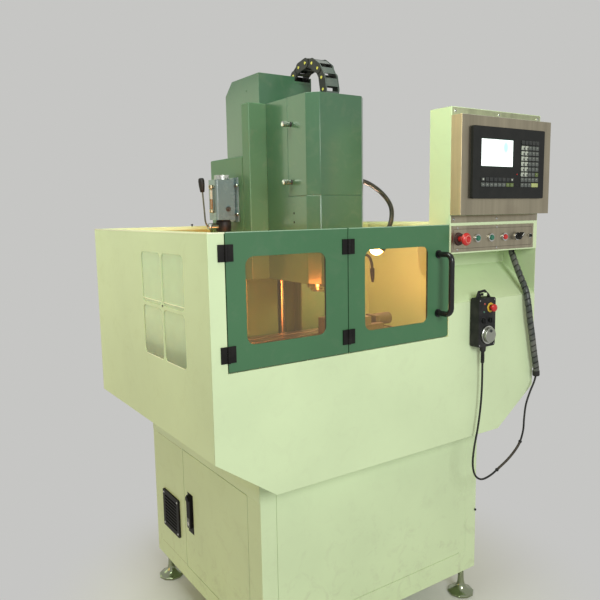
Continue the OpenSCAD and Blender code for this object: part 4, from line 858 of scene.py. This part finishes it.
pad_cols, pad_rows, pad_pitch_x, pad_pitch_z = 5, 9, 0.019, 0.0176
pad_x, pad_z, pad_wide, pad_high = 0.486, 1.548, 0.0155, 0.0135
for row in range(pad_rows):
    for col in range(pad_cols):
        x = pad_x + pad_pitch_x * col + pad_pitch_x / 2
        z = pad_z + pad_pitch_z * (pad_rows - 1 - row) + pad_pitch_z / 2
        if row == pad_rows - 1 and col > 2:
            if col == 3:
                key("lime", x + pad_pitch_x / 2, z, pad_wide + pad_pitch_x, pad_high)
            continue
        tone = "dark" if row == 0 else "pale" if 0 < row < 7 and col < 2 else "grey"
        key("green" if (row, col) == (6, 4) else tone, x, z, pad_wide, pad_high)
        if tone == "grey":
            mark(pale_marks, x - 0.002, z + 0.002, 0.0045, 0.0012)
        elif tone == "pale":
            mark(dark_marks, x + 0.0035, z - 0.002, 0.005, 0.0065)
soft_cols, soft_pitch_x, soft_pitch_z = 8, 0.0205, 0.017
soft_x, soft_wide, soft_high = 0.287, 0.0165, 0.0125
for row in range(2):
    for col in range(soft_cols):
        x = soft_x + soft_pitch_x * (col + 0.5)
        z = pad_z + soft_pitch_z * (1.5 - row)
        tone = "green" if row and col > 5 else "grey" if row else "dark"
        key(tone, x, z, soft_wide, soft_high)
        if not row and col in (0, soft_cols - 1):
            mark(pale_marks, x, z, 0.007, 0.006)
        elif row:
            mark(pale_marks, x, z, 0.006, 0.0012)
key_pieces = [new_piece(f"keys_{tone}", mesh, key_looks[tone], "machine")
              for tone, mesh in keys.items()]
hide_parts("keypad")
new_piece("key_marks_pale", pale_marks, key_looks["pale"], "machine")
new_piece("key_marks_dark", dark_marks, key_looks["dark"], "machine")

# the small indicator and the round blank between the key blocks
turned("panel_blank", [(0, 1.2), (4.2, 1.2), (5, 0.4), (5, -0.2), (0, -0.2)], black_plastic,
       "machine", Vector((0.469, panel_face, 1.556)))
red_plastic = moulded("red_plastic", (0.5, 0.014, 0.012), 0.3, 1200, 0.02, coat=0.3)
turned("panel_lamp", [(0, 1.6), (1.6, 1.2), (2.2, 0.2), (2.2, -0.2), (0, -0.2)], red_plastic,
       "machine", Vector((0.468, panel_face, 1.592)))

# ---- the push buttons ----
# A stainless plate with an engraved line round it, screwed on at its top and bottom. Each
# control sits in a turned bezel that is fastened from behind.

finished("button_plate", 0.0004, stainless, "machine", "stainless")
# the e-stop's bezel takes the same dark maroon, painted shade and painted reflection of the red
# head; the other bezels are chrome
stop_red_reflection, stop_right = moulded("stop_red_reflection", (0.05, 0.018, 0.014), 0.45), 0.29
parted("button_bezels", 0.0004, "machine", [
    ("chromed", chrome, "chrome", lambda f: f.calc_center_median().x > stop_right),
    ("stop", stop_red_reflection, "black_plastic", None)], shortest=3)
plate_low, plate_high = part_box("button_plate")
left_x, middle_x = plate_low.x + 0.03, (plate_low.x + plate_high.x) / 2 + 0.012
low_z, high_z = plate_low.z + 0.008, plate_high.z - 0.008
screws("plate_screws", [Vector((x, plate_low.y, z)) for x, z in (
    (left_x, high_z), (middle_x, high_z), (middle_x, low_z), (left_x, low_z))], 3.4, steel)
line, line_in, line_w = bmesh.new(), 0.011, 0.0012
line_front, line_back = plate_low.y - 0.0002, plate_low.y + 0.0004
for z in (plate_low.z + line_in, plate_high.z - line_in):
    bar(line, (plate_low.x + line_in, line_front, z - line_w / 2),
        (plate_high.x - line_in, line_back, z + line_w / 2), 0.0001)
for x in (plate_low.x + line_in, plate_high.x - line_in):
    bar(line, (x - line_w / 2, line_front, plate_low.z + line_in),
        (x + line_w / 2, line_back, plate_high.z - line_in), 0.0001)
new_piece("plate_line", line, moulded("filled_line", (0.06, 0.045, 0.035), 0.6), "machine")

green_plastic = moulded("green_plastic", (0.012, 0.15, 0.085), 0.3, 1200, 0.02, coat=0.3)
button_z = 1.382


def button_cap(node, x, look):
    """A push button with a dished face and a turned edge."""
    low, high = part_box(node)
    r, deep = (high.x - low.x) * 500, (high.y - low.y) * 1000
    cap = turned(node + "_cap", [(0, deep - 1.2), (r * 0.6, deep - 1), (r * 0.82, deep),
                                 (r * 0.93, deep - 0.3), (r, deep - 1.4), (r, 0), (0, 0)],
                 look, node, Vector((x, high.y, button_z)))
    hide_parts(node)


button_cap("green_button_left", 0.336, green_plastic)
button_cap("green_button_right", 0.405, green_plastic)
button_cap("red_button", 0.476, red_plastic)

# the mushroom on its stem, with a lighter turn-to-release ring on its face and a collar behind it,
# whose dark maroon is painted shade and painted reflection of the red head
low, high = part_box("estop_button")
stop_at, front = Vector((0.246, high.y, button_z)), (high.y - low.y) * 1000
head_r, stem_r = 20.8, 8.6
stop = turned("estop_head", [(head_r * r, front - back) for r, back in (
    (0, 0.6), (0.3, 1), (0.36, 2.4), (0.42, 1), (0.62, 1.4), (0.86, 3.8), (0.98, 6.8), (1, 9),
    (1, 11.2), (0.93, 14), (0.72, 14.8))] + [(stem_r, front - 15), (stem_r, 0), (0, 0)],
              red_plastic, "estop_button", stop_at, steps=40)
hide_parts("estop_button")
turned("estop_mark", [(head_r * r, front + out) for r, out in (
    (0.5, -0.2), (0.56, 0.1), (0.62, -0.4), (0.56, -4), (0.5, -4), (0.5, -0.2))],
       moulded("mark_pink", (0.62, 0.2, 0.16), 0.4), "estop_button", stop_at)
turned("estop_disc", [(15, 0.8), (21.2, 0.8), (21.7, 0.4), (21.7, -0.2), (15, -0.2), (15, 0.8)],
       stop_red_reflection, "machine", Vector((stop_at.x, plate_low.y, button_z)))

# the selector's lever and its white pointer
finished("selector_knob", 0.0008, black_plastic, "selector_knob", "black_plastic", shortest=3)
pointer = bmesh.new()
bar(pointer, (-0.0011, -0.0003, 0.002), (0.0011, 0.0005, 0.0158), 0.0002)
pointer.transform(Matrix.Rotation(math.radians(45), 4, "Y"))
pointer.transform(Matrix.Translation((0.543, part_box("selector_knob")[0].y, button_z)))
new_piece("selector_pointer", pointer, moulded("pointer_white", (0.8, 0.8, 0.76), 0.4),
          "selector_knob")

# the jack's black socket
turned("jack_socket", [(0, 0), (2.6, 0), (3, 1.6), (5.2, 1.6), (5.6, 0.8), (5.6, -3), (0, -3)],
       black_plastic, "machine",
       Vector((0.617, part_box("button_bezels")[0].y, button_z)))

# ---- the recess and its gland ----
# The bundle of wires leaves under the control column through a screwed rubber gland in
# the recess. The CAD's plain boot under the pendant is left out for the ribbed one below.

gland_above = 1.1
parted("cable_glands", 0.0005, "machine", [
    ("skin", rubber, "rubber_black", lambda f: f.calc_center_median().z > gland_above),
    ("boot", None, None, None)], shortest=8)

# ---- the pendant ----
# A moulded black hand control, hung by its loop on a bent strip. It has a dial wheel, two
# knobs, a small emergency stop in a yellow ring and two indicators.

finished("pendant_hook", 0.0006, cream, "machine", "cream_paint")
pendant_black = moulded("pendant_black", (0.01, 0.01, 0.011), 0.5, 500, 0.06, 0.0001, gleam=0.3)
finished("pendant_body", 0.0022, pendant_black, "machine", "black_plastic")
body_low, body_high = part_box("pendant_body")
wheel_at = Vector((0.349, body_low.y, 1.057))
wheel = turned("pendant_wheel_rim", [
    (0, 8.5), (26.2, 8.5), (27.2, 9.8), (29.6, 9.8), (30.8, 8.8), (30.8, 1.2), (30, 0.4), (0, 0.4)],
               metal("wheel_metal", (0.6, 0.6, 0.55), 0.22, film=0.15), "pendant_wheel",
               wheel_at, steps=64)
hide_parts("pendant_wheel")
turned("pendant_wheel_face", [
    (0, 19.2), (21.5, 19.2), (22.5, 19.6), (24.3, 19.6), (25.3, 18.6), (25.3, 12.5),
    (24.3, 11.5), (23, 11.2), (23, 8), (0, 8)],
       metal("face_metal", (0.42, 0.43, 0.37), 0.34, film=0.1), "pendant_wheel",
       wheel_at, steps=64)
# a small near-black cap on the wheel's finger dimple, its darkness painted shade of the dimple
turned("pendant_wheel_crank", [(0, 22.2), (4, 21.8), (5.2, 20.6), (5.2, 18.8), (0, 18.8)],
       moulded("dimple_shade", (0.02, 0.025, 0.022), 0.4), "pendant_wheel",
       wheel_at + Vector((0.001, 0, 0.0145)), steps=24)
for node, look, slot in (("pendant_axis_knob", black_plastic, "black_plastic"),
                         ("pendant_rate_knob", black_plastic, "black_plastic"),
                         ("pendant_estop", red_plastic, "red_plastic")):
    finished(node, 0.0006, look, node, slot)
turned("stop_ring", [(9.5, 1.4), (15.8, 1.4), (16.6, 0.6), (16.6, -0.2), (9.5, -0.2), (9.5, 1.4)],
       moulded("ring_yellow", (0.62, 0.42, 0.03), 0.4), "machine",
       Vector((0.367, body_low.y, 1.148)))
for name, x, z, look, slot in (
        ("lamp_pink", 0.337, 1.162, moulded("lens_pink", (0.4, 0.07, 0.055), 0.2), "red_plastic"),
        ("lamp_green", 0.335, 1.135, moulded("lens_green", (0.06, 0.15, 0.11), 0.2),
         "green_plastic")):
    turned(name, [(0, 2.6), (2.2, 2.2), (3.4, 1), (3.4, -0.2), (0, -0.2)], look, "machine",
           Vector((x, body_low.y, z)), steps=16)
ring_w, ring_proud, ring_sunk = 1.4, 0.4, -0.2
for name, x, z, ring in (("axis_dial", 0.331, 1.106, 12.5), ("rate_dial", 0.364, 1.106, 12.5),
                         ("wheel_dial", wheel_at.x, wheel_at.z, 34.5)):
    turned(name, [(ring - ring_w, ring_proud), (ring, ring_proud), (ring, ring_sunk),
                  (ring - ring_w, ring_sunk), (ring - ring_w, ring_proud)],
           key_looks["dark"], "machine", Vector((x, body_low.y, z)), steps=40)
screw_in, screw_top = 0.006, 1.174
screws("pendant_screws", [Vector((x, body_low.y, z))
                          for x in (body_low.x + screw_in, body_high.x - screw_in)
                          for z in (body_low.z + 0.007, screw_top)], 2.3, steel)

# the carrying loop, and the ribbed boot that keeps the cable from kinking
loop, loop_y = bmesh.new(), (body_low.y + body_high.y) / 2
limb_w, limb_t, overlap = 0.0025, 0.004, 0.002
corners = [(0.314, 1.172), (0.327, 1.2015), (0.356, 1.2045), (0.374, 1.19)]
for (x0, z0), (x1, z1) in zip(corners, corners[1:]):
    way = Vector((x1 - x0, 0, z1 - z0))
    limb = bmesh.new()
    bar(limb, (-limb_w, -limb_t, -overlap), (limb_w, limb_t, way.length + overlap), 0.0012)
    stand_up(limb, Vector((x0, loop_y, z0)), way)
    add_to(loop, limb)
new_piece("pendant_loop", loop, pendant_black, "machine")
rib_pitch = 4.7
ribs = [(r, down - rib_pitch * k) for k in range(8)
        for r, down in ((6.6, -20.5), (6.6, -23), (4.8, -23.2), (4.8, -25))]
boot = turned("pendant_boot", [(0, 0), (9.8, 0), (10.2, -1), (10.2, -16), (9.2, -19)] + ribs
              + [(6.2, -59), (6.2, -60.5), (0, -60.5)], rubber, "machine",
              Vector((cable_route[-1].x, cable_route[-1].y, body_low.z + 0.0005)), (0, 0, 1), 24)
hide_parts("cable_glands")

# ---- the mill's bed, saddle and column ----
# Ribbed iron castings under green machine paint. The saddle slides on the bed from front
# to back, and the column is bolted down behind them. They are machined where they slide.

casting = coated("painted_casting", (0.07, 0.16, 0.08), 0.42, drift=0.1, smears=0.14, bump=0.0003)
finished("bed", 0.004, casting, "machine", "casting_paint")
finished("saddle", 0.003, casting, "saddle", "casting_paint")
finished("column", 0.005, casting, "machine", "casting_paint")

# ---- the table and the vise ----
# Ground cast iron with a thin oil film. Three slots along the table take bolts; a machine
# vise is bolted across it, its round handle end toward the right.

ground_iron = metal("ground_iron", (0.36, 0.34, 0.31), 0.36, (6, 500, 500), 0.12)
finished("table", 0.0008, ground_iron, "table", "ground_iron")
finished("vise_base", 0.0015, metal("vise_iron", (0.3, 0.28, 0.25), 0.4, contrast=0.1),
         "table", "ground_iron")
finished("vise_jaw", 0.001, ground_iron, "vise_jaw", "ground_iron")

# ---- the column's hood and the motor ----
# A folded green hood, open where the cable carrier goes in, over a square servo motor on
# four standoffs.

enamel = coated("machine_enamel", (0.05, 0.126, 0.07), 0.28, drift=0.08, smears=0.1, coat=0.5)
finished("motor_hood", 0.0014, enamel, "machine", "green_paint")
post_h, flange_t = 0.0745, 0.013
posts_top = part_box("z_motor")[0].z + post_h
flange_top = posts_top + flange_t
parted("z_motor", 0.0012, "machine", [
    ("posts", steel, "steel", lambda f: f.calc_center_median().z < posts_top),
    ("flange", steel, "steel", lambda f: f.calc_center_median().z < flange_top),
    ("body", moulded("motor_black", (0.02, 0.02, 0.021), 0.45, 600), "black_plastic", None)])

# the hood's lip below the carrier
hood_low, hood_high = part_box("motor_hood")
hood_lip, lip_t = bmesh.new(), 0.0016
lip_left, lip_right, lip_bottom, lip_top = 0.0412, 0.1118, 1.9642, 1.974
bar(hood_lip, (lip_left, hood_low.y, lip_bottom), (lip_right, hood_low.y + lip_t, lip_top), 0.0004)
new_piece("hood_lip", hood_lip, enamel, "machine")

# a small rivet on the hood's left side
turned("hood_rivet", [(0, 1.2), (2.2, 1), (3.4, 0.2), (3.4, -0.2), (0, -0.2)], casting, "machine",
       Vector((hood_low.x, hood_low.y + 0.095, hood_high.z - 0.052)), (-1, 0, 0), 16)

# ---- the head ----
# A cast housing on its carriage, with a sheet cover over the belt. Four captive
# thumbscrews with chromed knobs and dark shafts hold the cover.

finished("head_carriage", 0.003, casting, "head", "casting_paint")
finished("head_housing", 0.0024, enamel, "head", "casting_paint")
side_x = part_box("head_housing")[1].x
skin_out, shaft_out = side_x + 0.0004, side_x + 0.0078
shaft_dark = moulded("shaft_dark", (0.03, 0.03, 0.03), 0.35)
parted("head_cover", 0.0012, "head", [
    ("skin", enamel, "green_paint", lambda f: abs(f.calc_center_median().x) < skin_out),
    ("shafts", shaft_dark, "black_metal", lambda f: abs(f.calc_center_median().x) < shaft_out),
    ("knobs", chrome, "chrome", None)], shortest=2)

# a knurled grip and a washer on each thumbscrew
cover_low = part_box("head_cover")[0]
knob_y, knob_r, knurls, sunk = place(0, 427, 0).y, 0.009, 48, 0.93
for side, name in ((-1, "thumbscrew_left_"), (1, "thumbscrew_right_")):
    for k, above in enumerate((0.048, 0.243)):
        knob_at = Vector((side * side_x, knob_y, cover_low.z + above))
        grip = bmesh.new()
        spun(grip, [(0, 35.5), (6, 35.4), (7.8, 35), (9.6, 33.8), (9.6, 14.5), (7.8, 13.2),
                    (6, 12.9), (6, 7.9)], knurls)
        for vert in grip.verts:
            turn = round(math.atan2(vert.co.y, vert.co.x) / (2 * math.pi) * knurls)
            if vert.co.xy.length > knob_r and turn % 3 == 0:
                vert.co.xy *= sunk
        stand_up(grip, knob_at, (side, 0, 0))
        new_piece(f"{name}{k}", grip, chrome, "head", angle=30)
        turned(f"{name}{k}_washer", [(0, 1.1), (8.8, 1.1), (9.2, 0.6), (9.2, -0.2), (0, -0.2)],
               shaft_dark, "head", knob_at, (side, 0, 0))

# two small holes in the housing's left face are filled flush with black discs, painted shade for
# their dark insides
for k, z in enumerate((1475, 1444)):
    turned(f"head_hole_shade_{k}", [(0, 0.4), (3, 0.3), (4.4, 0), (4.4, -3), (0, -3)], hinge_black,
           "head", place(-123, 415, z), (-1, 0, 0), 20)

# the coolant nozzle: a jet on a bent tube that is screwed into the housing's right face
hose_route = [place(*p) for p in (
    (121, 338, 1318), (133, 332, 1321), (141, 323, 1312), (143, 314, 1290), (142, 309, 1268))]
new_cord("coolant_tube", smooth_route(hose_route, 6), 0.0052, shaft_dark, "head")
turned("coolant_jet", [(0, 6), (6.8, 6), (8.4, 4.5), (8.4, -12), (7.2, -14.5), (7.8, -16),
                       (6.6, -30), (4.2, -44), (2.6, -45), (2.6, -40), (0, -40)],
       black_plastic, "head", hose_route[-1], (0, 0.03, 1), 24)

# ---- the spindle and the screw ----
# Hardened and ground steel with a drive pulley on top of the spindle. The ball screw
# stands in the column's slot behind the carriage.

finished("spindle", 0.0008, metal("spindle_steel", (0.5, 0.5, 0.48), 0.22, (900, 900, 900), 0.06),
         "spindle", "steel")
finished("z_screw", 0.0006, steel, "z_screw", "steel")

# ---- the work lamp ----
# A flexible steel gooseneck in a dark sleeve, from a round base on the head to an open
# shade with a small warm bulb in it.

lamp_black = coated("lamp_black", (0.022, 0.021, 0.02), 0.3, dust=0.05, coat=0.3)
lamp_route = [place(*p) for p in (
    (131, 472, 1600), (173, 460, 1599), (233, 440, 1583), (291, 424, 1543), (321, 410, 1495),
    (311, 396, 1443), (273, 380, 1393))]
lamp_turn = Matrix.Rotation(math.radians(28), 3, "Y") @ Matrix.Rotation(math.radians(20), 3, "X")
shade_down = (lamp_turn @ Vector((0, 0, -1))).normalized()
shade_low = lamp_route[-1] + shade_down * 0.063
base_x = 0.123
lamp = turned("lamp_base", [(0, 12), (9, 12), (9.5, 22), (12.5, 22.5), (12.5, 13), (18.5, 12),
                            (20, 10.5), (20, 0), (0, 0)],
              lamp_black, "head", Vector((base_x, *lamp_route[0].yz)), (1, 0, 0))
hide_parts("work_lamp")
neck_path = smooth_route(lamp_route, 12)
neck, neck_length, pitch, neck_r = bmesh.new(), route_frames(neck_path)[-1][0] * 1000, 4.6, 9
spun(neck, [(r, k * pitch + up) for k in range(int(neck_length / pitch))
            for r, up in ((neck_r - 1.2, 0), (neck_r, 1.2), (neck_r, 3.4))], 14)
bend_along(neck, neck_path)
new_piece("lamp_neck", neck, metal("neck_metal", (0.13, 0.125, 0.115), 0.3, film=0.3), "head",
          angle=40)
turned("lamp_shade", [(0, 68), (9.5, 68), (12, 66), (20, 60), (30.5, 36), (32, 32), (32, 1),
                      (31.5, 0), (30.5, 0), (30, 1), (30, 31), (19, 56), (9, 62), (0, 62)],
       lamp_black, "head", shade_low, -shade_down, 40)
bulb_glow, tree = blank_look("bulb_glow")
shader = tree.nodes["Principled BSDF"].inputs
facing = add_node(tree, "LayerWeight", {"Blend": 0.4}).outputs["Facing"]
tree.links.new(blend_colour(tree, facing, (1, 0.78, 0.4, 1), (1, 0.5, 0.16, 1)),
               shader["Emission Color"])
shader["Emission Strength"].default_value = 30
turned("lamp_bulb", [(0, -30), (12, -27.5), (21.5, -19.5), (27, -6), (27.5, 6), (22, 20),
                     (13, 32), (9, 40), (9, 60), (0, 60)],
       bulb_glow, "head", shade_low, -shade_down)
bulb_light = bpy.data.objects.new("bulb_light", bpy.data.lights.new("bulb_light", "POINT"))
scene.collection.objects.link(bulb_light)
bulb_light.data.energy, bulb_light.data.color = 7.5, (1, 0.7, 0.56)
bulb_light.data.shadow_soft_size = 0.02
bulb_light.location = shade_low + shade_down * 0.055
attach(bulb_light, "head")


def soft_lamp(name, spot, target, size, watts, colour):
    """A round soft lamp that shines from one spot toward another and isn't seen itself."""
    lamp = bpy.data.objects.new(name, bpy.data.lights.new(name, "AREA"))
    scene.collection.objects.link(lamp)
    lamp.data.shape, lamp.data.size = "DISK", size
    lamp.data.energy, lamp.data.color = watts, colour
    lamp.location = spot
    lamp.rotation_euler = (Vector(target) - Vector(spot)).to_track_quat("-Z", "Y").to_euler()
    lamp.visible_camera = False
    return lamp


# the warm light that the bulb throws back from the oily floor of the tray
soft_lamp("inner_light", place(-350, 110, 1120), place(-120, 600, 1000), 0.2, 5, (1, 0.33, 0.11))

# ---- the cable carrier ----
# Black moulded links with yellow pin caps and glossy outer lids. One end is screwed to the head and
# the other inside the hood; on the machine its bend follows the head's travel, but here the chain
# is one fixed shape on no body.

carrier_mid, lid_r, pin_out = place(76.5, 579, 1916), 0.124, 0.0308
carrier_black = moulded("carrier_black", (0.014, 0.014, 0.014), 0.36, 600, 0.05)
# the outer lids' lighter grey-green over black plastic is a painted reflection
lid_painted_sheen = moulded("lid_painted_sheen", (0.075, 0.1, 0.092), 0.14, 400, 0.12, coat=0.6)
pin_yellow = moulded("pin_yellow", (0.62, 0.55, 0.1), 0.35, 900, 0.04)


def is_pin(face):
    """A face of a pin cap, outside the link's side plates."""
    return abs(face.calc_center_median().x - carrier_mid.x) > pin_out


def is_lid(face):
    """An outer face of a link: round the bend on its top half, level with it below."""
    away = face.calc_center_median() - carrier_mid
    out = Vector((0, away.y, max(away.z, 0)))
    return out.length > lid_r and face.normal.dot(out.normalized()) > 0.75


for piece in parted("cable_carrier", 0.0006, None, [
        ("plates", carrier_black, "black_plastic", lambda f: not (is_pin(f) or is_lid(f))),
        ("pins", pin_yellow, "black_plastic", is_pin),
        ("lids", lid_painted_sheen, "black_plastic", None)], shortest=3):
    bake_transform(piece)

# ---- the hand oil pump ----
# A painted tank screwed to the column by its flange, with a ribbed filler cap, a level
# glass in bronze fittings and a round black pump below. Its lever is a bent rod.

pump_blue = coated("pump_blue", (0.125, 0.19, 0.212), 0.26, coat=0.4)
pump_brass = metal("fitting_brass", (0.5, 0.42, 0.26), 0.3, film=0.5)
tank_at = place(-196, 688, 1455)


def at_pump(face, x=None, y=None, z=None):
    """Whether a face's middle lies within given ranges, in millimetres from the tank's corner."""
    spot = (face.calc_center_median() - tank_at) * 1000
    return all(wanted is None or wanted[0] <= value <= wanted[1]
               for value, wanted in zip(spot, (x, y, z)))


parted("lubricator", 0.0014, "machine", [
    ("tank", pump_blue, "lube_paint",
     lambda f: at_pump(f, x=(-6.5, 1)) or at_pump(f, x=(-89, 0), y=(-0.4, 67), z=(-1, 148.3))),
    ("cap", metal("cap_metal", (0.42, 0.43, 0.4), 0.34, film=0.2), "steel",
     lambda f: at_pump(f, z=(148, 170))),
    ("fittings", pump_brass, "steel", lambda f: at_pump(f, x=(-110, -88), z=(0, 140))),
    ("barrel", chrome, "chrome", lambda f: at_pump(f, x=(-101, -74.5), z=(-40, -10))),
    ("knob", moulded("knob_dark", (0.05, 0.045, 0.04), 0.35), "black_plastic",
     lambda f: at_pump(f, y=(-20, -0.3), z=(20, 60))),
    ("pump", black_plastic, "black_plastic", None)], shortest=3)


def by_pump(x, y, z):
    """A place in millimetres from the tank's corner."""
    return tank_at + Vector((x, y, z)) / 1000


screws("pump_flange_screws", [by_pump(-6, y, z) for y in (-6, 72) for z in (18, 128)], 5.2, chrome,
       toward=(-1, 0, 0))
for k, z in enumerate((20, 126)):
    turned(f"pump_flange_boss_{k}", [(0, 9), (5.2, 9), (6, 8), (6, 0), (0, 0)], shaft_dark,
           "machine", by_pump(-11, -11, z), steps=20)
    turned(f"pump_flange_head_{k}", [(0, 5.5), (3, 5.2), (4.6, 3.6), (5, 1), (5, 0), (0, 0)],
           chrome, "machine", by_pump(-11, -20, z), steps=20)

# the level glass between its fittings, half full of oil
glass_x, glass_y, glass_low = -95, 28, 27
for name, finish, colour, r, top in (("level_glass", "glass_white", (0.4, 0.4, 0.32), 5.2, 84),
                                     ("level_oil", "oil_amber", (0.2, 0.11, 0.03), 5.4, 50)):
    turned(name, [(0, 12), (r, 12), (r, top), (0, top)],
           moulded(finish, colour, 0.12, dust=0.02, coat=0.6), "machine",
           by_pump(glass_x, glass_y, glass_low), (0, 0, 1), 24)
for k, z in enumerate((33, 122)):
    turned(f"glass_nut_{k}", [(0, 7), (5.5, 6.5), (8.5, 4.5), (8.5, -4.5), (5.5, -6.5), (0, -7)],
           pump_brass, "machine", by_pump(glass_x, glass_y, z), (0, 0, 1), 12)

# the lever: a bent steel rod from a hub on the pump's shaft, with a black grip
lever_at = place(-300.3, 721, 1431)
lever_route = [lever_at + Vector((x, 0, z)) / 1000 for x, z in (
    (-2, 0), (-9, 5), (-15, 20), (-17, 45), (-20, 90), (-23, 132))]
rod = bmesh.new()
spun(rod, [(0, 0), (2.8, 0.2)] + [(3, 2 + 2 * k) for k in range(75)], 12)
bend_along(rod, smooth_route(lever_route, 6))
rod = new_piece("lever_rod", rod, metal("rod_steel", (0.14, 0.14, 0.1), 0.3), "lubricator_lever")
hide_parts("lubricator_lever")
turned("lever_hub", [(0, 4), (5, 4), (6, 5.5), (9, 5.5), (12.5, 3.5), (13, 2), (13, -2.5),
                     (12, -3.8), (0, -4)],
       steel, "lubricator_lever", lever_at, (-1, 0, 0))
grip_at, grip_lean = lever_route[-1] - Vector((0, 0, 0.006)), math.radians(4)
turned("lever_grip", [(0, 0), (6.5, 0), (7.8, 1.5), (9.2, 10), (11.2, 28), (11.4, 42), (9.8, 49),
                      (6, 51.8), (0, 52)],
       black_plastic, "lubricator_lever", grip_at,
       (-math.sin(grip_lean), 0, math.cos(grip_lean)))

# ---- the floor and the light ----
# A plain pale floor that fades into a grey surround. Soft lamps stand in front (key), low
# at the left (weak and warm), overhead, behind the left side for a sheen, and behind the
# right side, where the fill lamp doesn't show in reflections.

surround_grey = (0.565, 0.565, 0.552, 1)
scene.view_settings.view_transform = "Standard"
scene.world = scene.world or bpy.data.worlds.new("surround")
scene.world.use_nodes = True
world = scene.world.node_tree
world.nodes.clear()
ray = add_node(world, "LightPath").outputs
seen = calc(world, "ADD", calc(world, "ADD", ray["Is Camera Ray"], ray["Is Glossy Ray"]),
            ray["Is Transmission Ray"], True)
glow = add_node(world, "Background", {"Color": (1, 0.9, 0.58, 1), "Strength": 0.39}).outputs[0]
plain = add_node(world, "Background", {"Color": surround_grey}).outputs[0]
shown = add_node(world, "MixShader", {0: seen, 1: glow, 2: plain}).outputs[0]
add_node(world, "OutputWorld", {0: shown})

soft_lamp("key_lamp", (-0.6, -3.3, 2.2), (0, 0, 1.0), 1.4, 62, (0.97, 1, 1))
soft_lamp("low_lamp", (-2.8, 0.5, 0.7), (-0.5, 0.1, 0.8), 1.4, 8, (1, 0.5, 0.0))
soft_lamp("ceiling_lamp", (-1.0, -0.4, 3.2), (-0.1, 0, 1.4), 1.2, 36, (0.86, 1, 0.8))
soft_lamp("sheen_lamp", (-2.7, 3.6, 1.5), (-0.4, 0.2, 1.4), 2.8, 22, (0.88, 1, 0.6))
fill_lamp = soft_lamp("fill_lamp", (2.7, 2.3, 1.7), (0.3, 0.2, 0.9), 2.0, 22, (1, 0.99, 0.97))
fill_lamp.visible_glossy = False

floor_mesh = bmesh.new()
bmesh.ops.create_grid(floor_mesh, x_segments=1, y_segments=1, size=24)
floor = bpy.data.objects.new("floor", bpy.data.meshes.new("floor"))
floor_mesh.to_mesh(floor.data)
floor_mesh.free()
scene.collection.objects.link(floor)
floor.location.z = cad_box[0].z
floor_look, tree = blank_look("pale_floor")
tree.nodes.clear()
reach = add_node(tree, "VectorMath", {0: add_node(tree, "TexCoord").outputs["Object"]},
                 operation="LENGTH").outputs["Value"]
fade = add_node(tree, "MapRange", {"Value": reach, "From Min": 0.3, "From Max": 1.25},
                interpolation_type="SMOOTHERSTEP").outputs[0]
lit = add_node(tree, "BsdfDiffuse", {"Color": (0.7, 0.7, 0.7, 1)}).outputs[0]
far = add_node(tree, "Emission", {"Color": surround_grey}).outputs[0]
faded = add_node(tree, "MixShader", {0: fade, 1: lit, 2: far}).outputs[0]
add_node(tree, "OutputMaterial", {0: faded})
floor.data.materials.append(floor_look)
